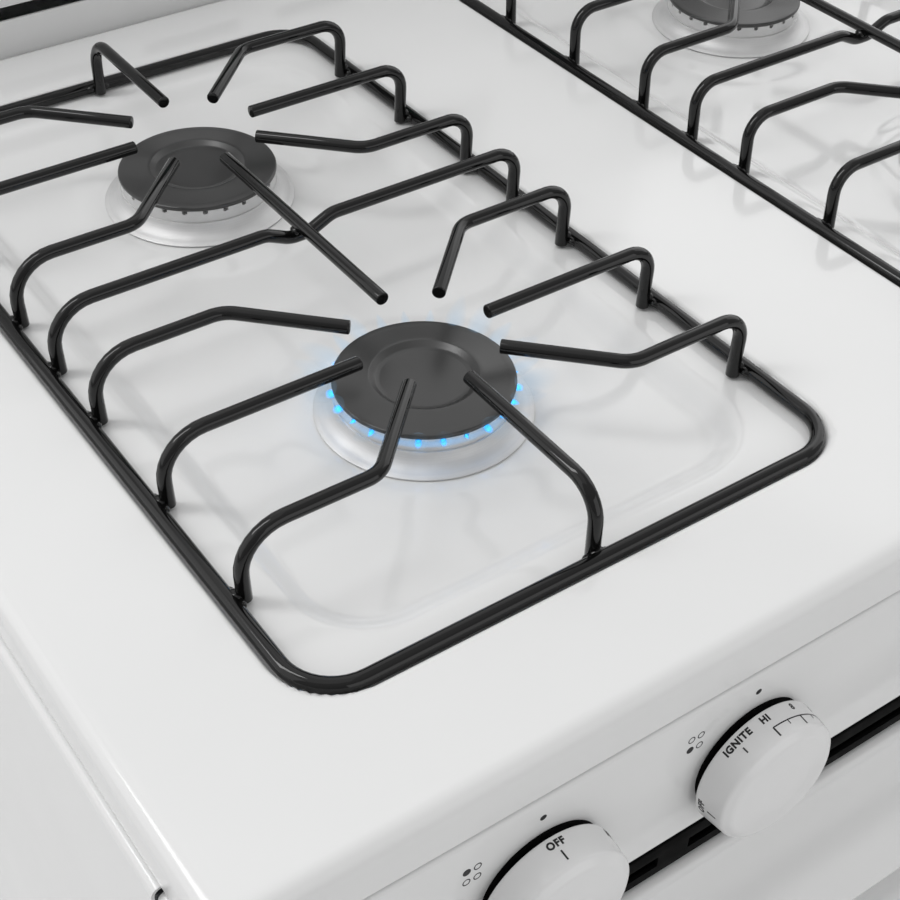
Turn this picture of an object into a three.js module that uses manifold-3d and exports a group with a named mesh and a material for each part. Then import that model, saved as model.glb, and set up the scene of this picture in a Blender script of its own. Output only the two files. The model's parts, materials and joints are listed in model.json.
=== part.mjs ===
// Freestanding gas range, 30 inch class, four sealed burners, two wire grates, oven and storage drawer.
// Millimetres, +Z up, front of the range towards -Y, origin on the floor under the middle of its footprint.
import * as THREE from 'three';
import { mergeGeometries, mergeVertices } from 'three/addons/utils/BufferGeometryUtils.js';
import Module from 'manifold-3d';

const wasm = await Module();
wasm.setup();

// ---------------------------------------------------------------- driving dimensions
const BODY_HALF_WIDTH = 379.5;
const BODY_BACK = 350;
const BODY_FRONT = -250;          // plane of the front frame
const PANEL_FRONT = -290;         // plane of the cooktop's front skirt and of the control panel
const COOKTOP_TOP = 914;
const SIDE_TOP = 891.7;
const BACKGUARD_TOP = 1185;
const BACKGUARD_FRONT = 270;
const SHEET = 1.5;                // folded sheet steel
const GAP = 0.3;                  // clearance between pieces that touch

// grates and burners
const GRATE_X = 179;              // grate centre line from the middle of the range
const GRATE_HALF_WIDTH = 126.1;   // rail centre lines
const GRATE_FRONT = -228.4;
const GRATE_MID = -9.5;           // crossbar
const RAIL_Z = 913;
const RAIL_R = 3.3;
const FINGER_R = 3.05;
const FINGER_Z = RAIL_Z + 29.7;
const FINGER_SPREAD = 60.4;       // outer fingers in front of and behind the burner
const FINGER_TIP_R = 31.4;        // tips stop on this circle about the burner
const FINGER_LEG_INSET = 5;       // legs stand just inside the rails
const BURNER_REACH = 100.3;       // burner centre from the crossbar
const LEDGE_Z = RAIL_Z - RAIL_R - GAP;
const WELL_Z = 901;
const PAD_Z = 905;
const BURNER_HOLE_R = 30;

// control panel
const PANEL_TOP = 888.5;
const PANEL_BOTTOM = 810.2;
const KNOB_Z = 841;
const KNOBS = { left_rear: -250, left_front: -148.5, oven: 0, right_front: 148.5, right_rear: 250 };
const KNOB_R = 29.9;
const KNOB_BACK = PANEL_FRONT - 3.6;
const KNOB_DEPTH = 18;
const STEM_R = 4;
const STEM_TRAVEL = 3;

// oven
const OVEN_HALF_WIDTH = 305;
const OVEN_FLOOR = 300;
const OVEN_TOP = 710;
const OVEN_FRONT = BODY_FRONT + 6.3;
const OVEN_BACK = OVEN_FRONT + 470;
const BURNER_BOX_Z = 262;         // bottom of the space under the oven floor
const RACK_LEVELS = [420, 560];
const GUIDE_LEVELS = [350, 420, 490, 560, 630];

// door
const HINGE_Y = -280;
const HINGE_Z = 242;
const DOOR_FRONT = -294;
const DOOR_BOTTOM = 222;
const DOOR_TOP = 789;
const DOOR_HALF_WIDTH = 377;
const WINDOW_HALF_WIDTH = 205;
const WINDOW_Z = [420, 650];
const HANDLE_Z = 745;
const HANDLE_FRONT = -350;
const HANDLE_HALF_LENGTH = 300;

// drawer
const DRAWER_BOTTOM = 40;
const DRAWER_TOP = 216;
const DRAWER_BOX_HALF_WIDTH = 328;
const DRAWER_BACK = 190;

// ---------------------------------------------------------------- materials
function paint(color, roughness, metalness) {
  return new THREE.MeshStandardMaterial({ color, roughness, metalness });
}
const MATERIALS = {
  whiteEnamel: paint(0xe9eae8, 0.18, 0),
  greyEnamel: paint(0x3c3f42, 0.35, 0),
  blackEnamel: paint(0x17181a, 0.2, 0),
  capEnamel: paint(0x2f3133, 0.35, 0),
  aluminium: paint(0xc3c5c6, 0.45, 1),
  galvanised: paint(0xa9adb0, 0.5, 1),
  chrome: paint(0xd8dadc, 0.15, 1),
  brass: paint(0xb9953f, 0.35, 1),
  whitePlastic: paint(0xe6e7e6, 0.4, 0),
  blackPlastic: paint(0x1c1d1f, 0.5, 0),
  blackGlass: paint(0x0c0d0f, 0.05, 0),
  clearGlass: paint(0x9fb0b0, 0.05, 0),
  rubber: paint(0x26272a, 0.8, 0),
  fibre: paint(0x55585a, 0.9, 0),
};

// ---------------------------------------------------------------- solids
function toSolid(geometry) {
  const plain = geometry.clone();
  plain.deleteAttribute('normal');
  plain.deleteAttribute('uv');
  const merged = mergeVertices(plain.index ? plain.toNonIndexed() : plain, 1e-4);
  const mesh = new wasm.Mesh({
    numProp: 3,
    vertProperties: new Float32Array(merged.attributes.position.array),
    triVerts: new Uint32Array(merged.index.array),
  });
  return new wasm.Manifold(mesh);
}

function toGeometry(solid) {
  const mesh = solid.getMesh();
  const geometry = new THREE.BufferGeometry();
  geometry.setAttribute('position', new THREE.BufferAttribute(new Float32Array(mesh.vertProperties), 3));
  geometry.setIndex(new THREE.BufferAttribute(new Uint32Array(mesh.triVerts), 1));
  geometry.computeVertexNormals();
  return geometry;
}

const join = (...solids) => solids.reduce((a, b) => a.add(b));
const cut = (solid, ...tools) => tools.reduce((a, b) => a.subtract(b), solid);

// box between two corners
function box(x0, x1, y0, y1, z0, z1) {
  const geometry = new THREE.BoxGeometry(x1 - x0, y1 - y0, z1 - z0);
  geometry.translate((x0 + x1) / 2, (y0 + y1) / 2, (z0 + z1) / 2);
  return toSolid(geometry);
}

// box symmetric about the middle plane of the range
const midBox = (halfWidth, y0, y1, z0, z1) => box(-halfWidth, halfWidth, y0, y1, z0, z1);

// solid of revolution about +Z from [radius, z] points running up the outside
function turned(points, segments = 16) {
  const profile = points.map(([r, z]) => new THREE.Vector2(r, z));
  const geometry = new THREE.LatheGeometry(profile, segments);
  geometry.rotateX(Math.PI / 2);
  return toSolid(geometry);
}

function cylinderZ(x, y, z0, z1, radius, segments = 24) {
  const geometry = new THREE.CylinderGeometry(radius, radius, z1 - z0, segments);
  geometry.rotateX(Math.PI / 2);
  geometry.translate(x, y, (z0 + z1) / 2);
  return toSolid(geometry);
}

function cylinderY(x, z, y0, y1, radius, segments = 16) {
  const geometry = new THREE.CylinderGeometry(radius, radius, y1 - y0, segments);
  geometry.translate(x, (y0 + y1) / 2, z);
  return toSolid(geometry);
}

function cylinderX(y, z, x0, x1, radius, segments = 12) {
  const geometry = new THREE.CylinderGeometry(radius, radius, x1 - x0, segments);
  geometry.rotateZ(Math.PI / 2);
  geometry.translate((x0 + x1) / 2, y, z);
  return toSolid(geometry);
}

// rounded rectangle in plan, centred on (x, y)
function roundedShape(halfX, halfY, radius) {
  const shape = new THREE.Shape();
  shape.moveTo(halfX, -halfY + radius);
  shape.lineTo(halfX, halfY - radius);
  shape.absarc(halfX - radius, halfY - radius, radius, 0, Math.PI / 2);
  shape.lineTo(-halfX + radius, halfY);
  shape.absarc(-halfX + radius, halfY - radius, radius, Math.PI / 2, Math.PI);
  shape.lineTo(-halfX, -halfY + radius);
  shape.absarc(-halfX + radius, -halfY + radius, radius, Math.PI, Math.PI * 1.5);
  shape.lineTo(halfX - radius, -halfY);
  shape.absarc(halfX - radius, -halfY + radius, radius, Math.PI * 1.5, Math.PI * 2);
  return shape;
}

// slab with a rounded outline, its lower edge tapered inwards by `taper` over its whole depth
function roundedSlab(x, y, halfX, halfY, radius, z0, z1, taper = 0, curveSegments = 2) {
  const options = { depth: z1 - z0, curveSegments, bevelEnabled: false };
  if (taper > 0) {
    Object.assign(options, {
      depth: 0.5,
      bevelEnabled: true,
      bevelThickness: z1 - z0,
      bevelSize: taper,
      bevelOffset: -taper,
      bevelSegments: 1,
    });
  }
  const geometry = new THREE.ExtrudeGeometry(roundedShape(halfX, halfY, radius), options);
  geometry.translate(x, y, z1 - (taper > 0 ? 0 : z1 - z0));
  return toSolid(geometry);
}

// curve through listed corners, with a section placed squarely across each one
class RodPath extends THREE.Curve {
  constructor(corners) {
    super();
    this.corners = corners;
  }

  getPoint(t) {
    const place = t * (this.corners.length - 1);
    const index = Math.min(Math.floor(place + 1e-9), this.corners.length - 2);
    return this.corners[index].clone().lerp(this.corners[index + 1], place - index);
  }

  getPointAt(t) {
    return this.getPoint(t);
  }

  getTangentAt(t) {
    const index = Math.round(t * (this.corners.length - 1));
    const before = this.corners[Math.max(index - 1, 0)];
    const here = this.corners[index];
    const after = this.corners[Math.min(index + 1, this.corners.length - 1)];
    const arriving = here.clone().sub(before).normalize();
    const leaving = after.clone().sub(here).normalize();
    return arriving.add(leaving).normalize();
  }
}

// round bar along straight runs, each inner corner bent to its own radius
function bentRod(points, bendRadii, radius, sides = 6, bendSteps = 2) {
  const run = points.map((p) => new THREE.Vector3(...p));
  const corners = [run[0]];
  for (let i = 1; i < run.length - 1; i += 1) {
    const back = run[i - 1].clone().sub(run[i]).normalize();
    const ahead = run[i + 1].clone().sub(run[i]).normalize();
    const angle = back.angleTo(ahead);
    const trim = bendRadii[i - 1] / Math.tan(angle / 2);
    const start = run[i].clone().addScaledVector(back, trim);
    const end = run[i].clone().addScaledVector(ahead, trim);
    const inward = back.clone().add(ahead).normalize();
    const centre = run[i].clone().addScaledVector(inward, bendRadii[i - 1] / Math.sin(angle / 2));
    const sweep = Math.PI - angle;
    for (let s = 0; s <= bendSteps; s += 1) {
      const f = s / bendSteps;
      const arm = start.clone().sub(centre).multiplyScalar(Math.sin((1 - f) * sweep));
      arm.addScaledVector(end.clone().sub(centre), Math.sin(f * sweep));
      corners.push(centre.clone().addScaledVector(arm, 1 / Math.sin(sweep)));
    }
  }
  corners.push(run[run.length - 1]);
  const section = new THREE.Shape();
  section.absarc(0, 0, radius, 0, Math.PI * 2);
  const geometry = new THREE.ExtrudeGeometry(section, {
    steps: corners.length - 1,
    curveSegments: sides / 2,
    extrudePath: new RodPath(corners),
    bevelEnabled: false,
  });
  return toSolid(geometry);
}

const range = new THREE.Group();
function add(name, solid, material) {
  const mesh = new THREE.Mesh(toGeometry(solid), material);
  mesh.name = name;
  range.add(mesh);
  return mesh;
}

// ---------------------------------------------------------------- cooktop
// One pressed sheet: rolled front and side edges, two ledged wells, a raised pad round each burner.
const WELL_HALF_X = GRATE_HALF_WIDTH + 8.5;
const WELL_HALF_Y = GRATE_MID - GRATE_FRONT + 8.5;
const FLOOR_HALF_X = GRATE_HALF_WIDTH - 18.5;
const FLOOR_HALF_Y = GRATE_MID - GRATE_FRONT - 16.5;
const COOKTOP_HALF_X = 375.9;
const COOKTOP_BACK = 268;
const BURNERS = [];
for (const [side, sx] of [['left', -1], ['right', 1]]) {
  for (const [row, sy] of [['front', -1], ['rear', 1]]) {
    BURNERS.push({ name: `${side}_${row}`, x: sx * GRATE_X, y: GRATE_MID + sy * BURNER_REACH });
  }
}

function makeCooktop() {
  const y0 = PANEL_FRONT;
  const y1 = COOKTOP_BACK;
  const skirt = 7;
  let sheet = roundedSlab(0, (y0 + y1) / 2, COOKTOP_HALF_X, (y1 - y0) / 2, 7, PANEL_TOP + 0.7,
    COOKTOP_TOP - skirt);
  const top = new THREE.ExtrudeGeometry(roundedShape(COOKTOP_HALF_X, (y1 - y0) / 2, 7), {
    depth: 0.5,
    curveSegments: 2,
    bevelEnabled: true,
    bevelThickness: skirt - 0.5,
    bevelSize: 6.5,
    bevelOffset: -6.5,
    bevelSegments: 3,
  });
  top.translate(0, (y0 + y1) / 2, COOKTOP_TOP - skirt);
  sheet = join(sheet, toSolid(top));
  sheet = cut(sheet, midBox(BODY_HALF_WIDTH, y0 - 5, y1 + 5, COOKTOP_TOP - 60, SIDE_TOP + 0.5)
    .subtract(midBox(BODY_HALF_WIDTH, y0 - 5, BODY_FRONT - 12, 0, COOKTOP_TOP)));
  sheet = cut(sheet, midBox(COOKTOP_HALF_X - 2, y0 + 2, y1 - 2, 0, COOKTOP_TOP - 9));
  sheet = cut(sheet, midBox(COOKTOP_HALF_X - 9, y0 + 9, y1 - 9, 0, COOKTOP_TOP - 2.5));
  for (const sx of [-1, 1]) {
    const x = sx * GRATE_X;
    sheet = join(sheet,
      roundedSlab(x, GRATE_MID, WELL_HALF_X + 2, WELL_HALF_Y + 2, 30, LEDGE_Z - 2, COOKTOP_TOP - 1),
      roundedSlab(x, GRATE_MID, FLOOR_HALF_X + 3, FLOOR_HALF_Y + 3, 30, WELL_Z - 2, LEDGE_Z - 1));
    sheet = cut(sheet,
      roundedSlab(x, GRATE_MID, WELL_HALF_X + 0.25, WELL_HALF_Y + 0.25, 30, LEDGE_Z, COOKTOP_TOP + 0.5, 2.75),
      roundedSlab(x, GRATE_MID, FLOOR_HALF_X + 0.5, FLOOR_HALF_Y + 0.5, 30, WELL_Z, LEDGE_Z + 0.5, 8.5));
  }
  for (const { x, y } of BURNERS) {
    const pad = turned([[0, WELL_Z - 1], [69, WELL_Z - 1], [51, PAD_Z], [0, PAD_Z]]);
    sheet = join(sheet, pad.translate([x, y, 0]));
    sheet = cut(sheet, cylinderZ(x, y, WELL_Z - 10, COOKTOP_TOP, BURNER_HOLE_R));
  }
  return sheet;
}
add('cooktop', makeCooktop(), MATERIALS.whiteEnamel);

// ---------------------------------------------------------------- burners
// Head: mixing cup below the cooktop, flange on the pad, flared skirt, groove and port ring.
const HEAD_PROFILE = [
  [0, 884], [27, 884], [29.2, 890], [29.2, PAD_Z + GAP], [47, PAD_Z + GAP], [47, 906.3],
  [42.5, 908.2], [39.4, 911.6], [38.4, 914.4], [38.2, 919.9], [33, 919.9], [33, 912],
  [20, 906], [0, 906],
];
const CAP_PROFILE = [
  [0, 919.2], [24, 919.2], [24, 915.7], [30, 915.7], [30, 920.2], [38.4, 920.2],
  [39, 920.8], [39, 922], [37.6, 923], [25, 922.6], [23.4, 923.6], [21.6, 922.6],
  [18.5, 921.2], [0, 921.2],
];
for (const { name, x, y } of BURNERS) {
  add(`burner_head_${name}`, turned(HEAD_PROFILE).translate([x, y, 0]), MATERIALS.aluminium);
  add(`burner_cap_${name}`, turned(CAP_PROFILE).translate([x, y, 0]), MATERIALS.capEnamel);
}

// ---------------------------------------------------------------- grates
// A closed rail on the ledge carries a crossbar, a bar joining both burners and fourteen fingers.
function makeGrate() {
  const halfLength = GRATE_MID - GRATE_FRONT;
  const flat = RAIL_R * 0.414;
  const outline = roundedShape(GRATE_HALF_WIDTH + flat, halfLength + flat, 22 + flat);
  outline.holes.push(roundedShape(GRATE_HALF_WIDTH - flat, halfLength - flat, 22 - flat));
  const rail = new THREE.ExtrudeGeometry(outline, {
    depth: 2 * flat,
    curveSegments: 2,
    bevelEnabled: true,
    bevelThickness: RAIL_R - flat,
    bevelSize: RAIL_R - flat,
    bevelSegments: 1,
  });
  rail.translate(0, 0, RAIL_Z - flat);
  let grate = toSolid(rail);
  const legX = GRATE_HALF_WIDTH - FINGER_LEG_INSET;
  const foot = RAIL_Z - RAIL_R + 1;
  for (const sy of [-1, 1]) {
    const by = sy * BURNER_REACH;
    for (const sx of [-1, 1]) {
      const run = [[sx * legX, by, foot], [sx * legX, by, FINGER_Z], [sx * FINGER_TIP_R, by, FINGER_Z]];
      grate = join(grate, bentRod(run, [13], FINGER_R));
      for (const side of [-1, 1]) {
        const y = by + side * FINGER_SPREAD;
        const tip = FINGER_TIP_R * Math.SQRT1_2;
        const bend = FINGER_SPREAD;
        grate = join(grate, bentRod([
          [sx * legX, y, foot],
          [sx * legX, y, FINGER_Z],
          [sx * bend, y, FINGER_Z],
          [sx * tip, by + side * tip, FINGER_Z],
        ], [13, 14], FINGER_R));
      }
    }
    const legY = sy * (halfLength - FINGER_LEG_INSET);
    grate = join(grate, bentRod([
      [0, legY, foot], [0, legY, FINGER_Z], [0, by + sy * FINGER_TIP_R, FINGER_Z],
    ], [16], FINGER_R));
  }
  const dip = 2 * FINGER_R - 0.6;
  grate = join(grate, bentRod([
    [-legX, 0, foot], [-legX, 0, FINGER_Z], [-17, 0, FINGER_Z], [-5, 0, FINGER_Z - dip],
    [5, 0, FINGER_Z - dip], [17, 0, FINGER_Z], [legX, 0, FINGER_Z], [legX, 0, foot],
  ], [13, 12, 12, 12, 12, 13], FINGER_R));
  const reach = BURNER_REACH - FINGER_TIP_R;
  grate = join(grate, bentRod([[0, -reach, FINGER_Z], [0, reach, FINGER_Z]], [], FINGER_R));
  return grate;
}
const grate = makeGrate();
add('grate_left', grate.translate([-GRATE_X, GRATE_MID, 0]), MATERIALS.blackEnamel);
add('grate_right', grate.translate([GRATE_X, GRATE_MID, 0]), MATERIALS.blackEnamel);

// ---------------------------------------------------------------- control panel, valves and knobs
const PANEL_BACK = BODY_FRONT - GAP;
let panel = midBox(DOOR_HALF_WIDTH + 0.5, PANEL_FRONT, PANEL_BACK, PANEL_BOTTOM, PANEL_TOP);
panel = cut(panel, midBox(DOOR_HALF_WIDTH - 1, PANEL_FRONT + SHEET, PANEL_BACK + 1,
  PANEL_BOTTOM + SHEET, PANEL_TOP - SHEET));
for (const x of Object.values(KNOBS)) {
  panel = cut(panel, cylinderY(x, KNOB_Z, PANEL_FRONT - 1, PANEL_FRONT + 5, 7));
}
add('control_panel', panel, MATERIALS.whiteEnamel);

let vent = midBox(DOOR_HALF_WIDTH + 0.5, PANEL_FRONT, PANEL_BACK, DOOR_TOP + 2.7, PANEL_BOTTOM - GAP);
vent = cut(vent, midBox(DOOR_HALF_WIDTH - 2, PANEL_FRONT + 12, PANEL_BACK + 1,
  DOOR_TOP + 4.7, PANEL_BOTTOM - 2));
for (let i = 0; i < 9; i += 1) {
  const x = (i - 4) * 72;
  vent = cut(vent, box(x - 28, x + 28, PANEL_FRONT - 1, PANEL_FRONT + 14, DOOR_TOP + 8, DOOR_TOP + 14));
}
add('vent_trim', vent, MATERIALS.blackPlastic);

const STEM_TIP = KNOB_BACK - KNOB_DEPTH + 7;
const STEM_END = -238.5;
const VALVE_FRONT = -256;
const VALVE_BACK = -216;
const MANIFOLD_Y = VALVE_BACK + GAP + 10;
for (const [name, x] of Object.entries(KNOBS)) {
  const stem = join(
    cylinderY(x, KNOB_Z, STEM_TIP, STEM_END, STEM_R, 10),
    cylinderY(x, KNOB_Z, VALVE_FRONT - 9, VALVE_FRONT - 7, STEM_R + 2, 10),
  );
  const flat = box(x - 6, x + 6, STEM_TIP - 1, STEM_TIP + 10, KNOB_Z + STEM_R - 1.2, KNOB_Z + 8);
  add(`valve_stem_${name}`, cut(stem, flat), MATERIALS.aluminium);
  const bore = cylinderY(x, KNOB_Z, VALVE_FRONT - 1, STEM_END + STEM_TRAVEL + 1.5, STEM_R + 0.6, 10);
  const body = join(
    cylinderY(x, KNOB_Z, VALVE_FRONT, VALVE_FRONT + 24, 12, 10),
    box(x - 9, x + 9, VALVE_FRONT + 20, VALVE_BACK, KNOB_Z - 9, KNOB_Z + 9),
    cylinderZ(x, VALVE_FRONT + 14, KNOB_Z, KNOB_Z + 20, 5, 8),
  );
  add(`valve_${name}`, cut(body, bore), MATERIALS.brass);
  const profile = [
    [0, 0], [KNOB_R - 0.8, 0], [KNOB_R, 1.2], [KNOB_R - 1.1, 12.5], [KNOB_R - 3.4, 15.2],
    [KNOB_R - 10, 16.8], [0, KNOB_DEPTH],
  ];
  let knob = turned(profile, 18).rotate([90, 0, 0]).translate([x, KNOB_BACK, KNOB_Z]);
  knob = cut(knob, cylinderY(x, KNOB_Z, STEM_TIP - 1, KNOB_BACK + 1, STEM_R + 0.5, 10));
  knob = cut(knob, cylinderY(x, KNOB_Z, KNOB_BACK - 6, KNOB_BACK + 1, 20, 12)
    .subtract(cylinderY(x, KNOB_Z, KNOB_BACK - 8, KNOB_BACK + 2, 8, 10)));
  add(`knob_${name}`, knob, MATERIALS.whitePlastic);
}

// Manifold: a pipe behind the valves, turned back along the right-hand side to the regulator.
const REGULATOR_X = 342;
const REGULATOR_Y = 290;
add('gas_manifold', bentRod([
  [-290, MANIFOLD_Y, KNOB_Z], [REGULATOR_X, MANIFOLD_Y, KNOB_Z], [REGULATOR_X, REGULATOR_Y, KNOB_Z],
], [30], 10, 8, 3), MATERIALS.galvanised);
const regulator = join(
  cylinderY(REGULATOR_X, KNOB_Z, REGULATOR_Y + GAP, 344, 13, 6),
  cylinderZ(REGULATOR_X, 318, KNOB_Z - 14, KNOB_Z + 16, 22, 16),
  cylinderZ(REGULATOR_X, 318, KNOB_Z + 15, KNOB_Z + 24, 9, 12),
);
add('pressure_regulator', regulator, MATERIALS.aluminium);

// ---------------------------------------------------------------- casing
const SIDE_BOTTOM = 30;
for (const [name, sx] of [['left', -1], ['right', 1]]) {
  const at = (a, b) => (sx > 0 ? [a, b] : [-b, -a]);
  const side = join(
    box(...at(BODY_HALF_WIDTH - 1.2, BODY_HALF_WIDTH), BODY_FRONT, BODY_BACK, SIDE_BOTTOM, SIDE_TOP),
    box(...at(BODY_HALF_WIDTH - 16, BODY_HALF_WIDTH), BODY_FRONT, BODY_BACK, SIDE_TOP - 1.2, SIDE_TOP),
    box(...at(BODY_HALF_WIDTH - 14, BODY_HALF_WIDTH), BODY_BACK - 1.2, BODY_BACK, SIDE_BOTTOM, SIDE_TOP),
  );
  add(`${name}_side_panel`, side, MATERIALS.whiteEnamel);
}
const CASE_HALF_WIDTH = BODY_HALF_WIDTH - 1.2 - GAP;
let rear = midBox(CASE_HALF_WIDTH, BODY_BACK - 3, BODY_BACK - 1.5, SIDE_BOTTOM + 36, SIDE_TOP - 2);
rear = cut(rear, cylinderY(REGULATOR_X, KNOB_Z, BODY_BACK - 5, BODY_BACK, 16));
for (let i = 0; i < 7; i += 1) {
  const x = (i - 3) * 60;
  rear = cut(rear, box(x - 20, x + 20, BODY_BACK - 5, BODY_BACK, 780, 786));
  rear = cut(rear, box(x - 20, x + 20, BODY_BACK - 5, BODY_BACK, 800, 806));
}
add('rear_panel', rear, MATERIALS.galvanised);

// Base frame: a ring of folded channel under the whole body, open in the middle.
const FOOT_X = 335;
const FOOT_Y = [-215, 312];
let base = midBox(CASE_HALF_WIDTH, BODY_FRONT + 0.3, BODY_BACK - 3.5, SIDE_BOTTOM, SIDE_BOTTOM + 34);
base = cut(base,
  midBox(CASE_HALF_WIDTH - 80, BODY_FRONT + 70, BODY_BACK - 70, 0, SIDE_BOTTOM + 60),
  midBox(CASE_HALF_WIDTH - SHEET, BODY_FRONT + 0.3 + SHEET, BODY_BACK - 5, 0, SIDE_BOTTOM + 32.5)
    .subtract(midBox(CASE_HALF_WIDTH - 80 + SHEET, BODY_FRONT + 70 - SHEET, BODY_BACK - 70 + SHEET,
      0, SIDE_BOTTOM + 60)));
for (const x of [-FOOT_X, FOOT_X]) {
  for (const y of FOOT_Y) {
    base = cut(base, cylinderZ(x, y, 0, SIDE_BOTTOM + 60, 5.4, 12));
  }
}
add('base_frame', base, MATERIALS.galvanised);
for (const [side, x] of [['left', -FOOT_X], ['right', FOOT_X]]) {
  for (const [row, y] of [['front', FOOT_Y[0]], ['rear', FOOT_Y[1]]]) {
    const foot = turned([
      [0, 0], [17, 0], [19, 3], [19, 8], [11, 14], [11, 62], [5, 62], [5, 74], [0, 74],
    ], 10);
    add(`foot_${row}_${side}`, foot.translate([x, y, 0]), MATERIALS.blackPlastic);
  }
}

// Front frame: the face that the oven, the door seal and the drawer meet.
let face = midBox(CASE_HALF_WIDTH, BODY_FRONT, BODY_FRONT + 6, SIDE_BOTTOM + 36, PANEL_TOP);
face = cut(face,
  midBox(OVEN_HALF_WIDTH, BODY_FRONT - 1, BODY_FRONT + 7, OVEN_FLOOR, OVEN_TOP),
  midBox(348, BODY_FRONT - 1, BODY_FRONT + 7, SIDE_BOTTOM + 44, DRAWER_TOP - 4),
  midBox(CASE_HALF_WIDTH - 30, BODY_FRONT - 1, BODY_FRONT + 7, KNOB_Z - 22, KNOB_Z + 30));
face = cut(face, midBox(CASE_HALF_WIDTH - 6, BODY_FRONT + 1.5, BODY_FRONT + 7, DRAWER_TOP + 6, OVEN_FLOOR - 40));
add('front_frame', face, MATERIALS.greyEnamel);

// ---------------------------------------------------------------- oven
const LINER = 2;
let liner = midBox(OVEN_HALF_WIDTH + LINER, OVEN_FRONT, OVEN_BACK + LINER, BURNER_BOX_Z - LINER,
  OVEN_TOP + LINER);
liner = cut(liner,
  midBox(OVEN_HALF_WIDTH, OVEN_FRONT - 1, OVEN_BACK, OVEN_FLOOR + 3, OVEN_TOP),
  midBox(OVEN_HALF_WIDTH, OVEN_FRONT + LINER, OVEN_BACK, BURNER_BOX_Z, OVEN_FLOOR + 4),
  midBox(OVEN_HALF_WIDTH, OVEN_FRONT - 1, OVEN_FRONT + 4, OVEN_FLOOR, OVEN_FLOOR + 4));
const flange = cut(
  midBox(OVEN_HALF_WIDTH + 22, OVEN_FRONT, OVEN_FRONT + SHEET, BURNER_BOX_Z - LINER, OVEN_TOP + 22),
  midBox(OVEN_HALF_WIDTH + 0.5, OVEN_FRONT - 1, OVEN_FRONT + 5, BURNER_BOX_Z + 2, OVEN_TOP + 0.5),
);
liner = join(liner, flange);
for (const sx of [-1, 1]) {
  const at = (a, b) => (sx > 0 ? [a, b] : [-b, -a]);
  for (const z of GUIDE_LEVELS) {
    const guide = box(...at(OVEN_HALF_WIDTH - 11, OVEN_HALF_WIDTH + 1), OVEN_FRONT + 14, OVEN_BACK - 8,
      z - 12, z - 6 - GAP);
    liner = join(liner, guide);
  }
  liner = join(liner, box(...at(OVEN_HALF_WIDTH - 14, OVEN_HALF_WIDTH + 1), OVEN_FRONT + LINER,
    OVEN_BACK - 1, OVEN_FLOOR - 3.5, OVEN_FLOOR - 2));
}
liner = cut(liner,
  cylinderY(0, OVEN_TOP - 14, OVEN_BACK - 1, OVEN_BACK + 3, 9),
  cylinderY(0, BURNER_BOX_Z + 14, OVEN_BACK - 1, OVEN_BACK + 3, 9));
add('oven_liner', liner, MATERIALS.greyEnamel);

let ovenFloor = midBox(OVEN_HALF_WIDTH - 1, OVEN_FRONT + 5, OVEN_BACK - 1, OVEN_FLOOR - 1.7, OVEN_FLOOR - 0.2);
ovenFloor = join(ovenFloor, roundedSlab(0, (OVEN_FRONT + OVEN_BACK) / 2, 262, 196, 20,
  OVEN_FLOOR - 6, OVEN_FLOOR - 0.2));
ovenFloor = cut(ovenFloor, roundedSlab(0, (OVEN_FRONT + OVEN_BACK) / 2, 260.5, 194.5, 19,
  OVEN_FLOOR - 4.5, OVEN_FLOOR + 3));
for (const sx of [-1, 1]) {
  for (let i = 0; i < 4; i += 1) {
    const y = OVEN_FRONT + 55 + i * 100;
    ovenFloor = cut(ovenFloor, box(sx * 278 - 5, sx * 278 + 5, y, y + 70, OVEN_FLOOR - 10, OVEN_FLOOR + 5));
  }
}
add('oven_floor', ovenFloor, MATERIALS.greyEnamel);

const bakeZ = BURNER_BOX_Z + 14;
const bake = join(
  bentRod([[-120, OVEN_BACK - 60, bakeZ], [-120, OVEN_FRONT + 90, bakeZ], [120, OVEN_FRONT + 90, bakeZ],
    [120, OVEN_BACK - 60, bakeZ], [-121, OVEN_BACK - 60, bakeZ]], [34, 34, 34], 8),
  cylinderY(0, bakeZ, OVEN_BACK - 70, OVEN_BACK + 30, 7, 8),
);
add('bake_burner', bake, MATERIALS.galvanised);
const broilZ = OVEN_TOP - 14;
const broil = join(
  cylinderY(0, broilZ, OVEN_FRONT + 70, OVEN_BACK + 30, 8, 8),
  box(-60, 60, OVEN_FRONT + 75, OVEN_BACK - 60, broilZ + 4, broilZ + 6),
);
add('broil_burner', broil, MATERIALS.galvanised);

// Racks: a bent perimeter bar with close parallel bars on three cross members.
function makeRack(z) {
  const r = 3;
  const y0 = OVEN_FRONT + 16;
  const y1 = OVEN_BACK - 18;
  const x = OVEN_HALF_WIDTH - 6;
  let rack = join(
    cylinderX(y0, z, -x, x, r, 8), cylinderX(y1, z, -x, x, r, 8),
    cylinderY(-x, z, y0, y1, r, 8), cylinderY(x, z, y0, y1, r, 8),
  );
  for (const y of [y0 + 110, (y0 + y1) / 2, y1 - 110]) {
    rack = join(rack, cylinderX(y, z - 3.6, -x, x, 2.4, 6));
  }
  for (let i = -9; i <= 9; i += 1) {
    rack = join(rack, cylinderY(i * 30, z + 0.8, y0, y1, 1.7, 6));
  }
  return rack;
}
add('oven_rack_lower', makeRack(RACK_LEVELS[0]), MATERIALS.chrome);
add('oven_rack_upper', makeRack(RACK_LEVELS[1]), MATERIALS.chrome);

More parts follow.
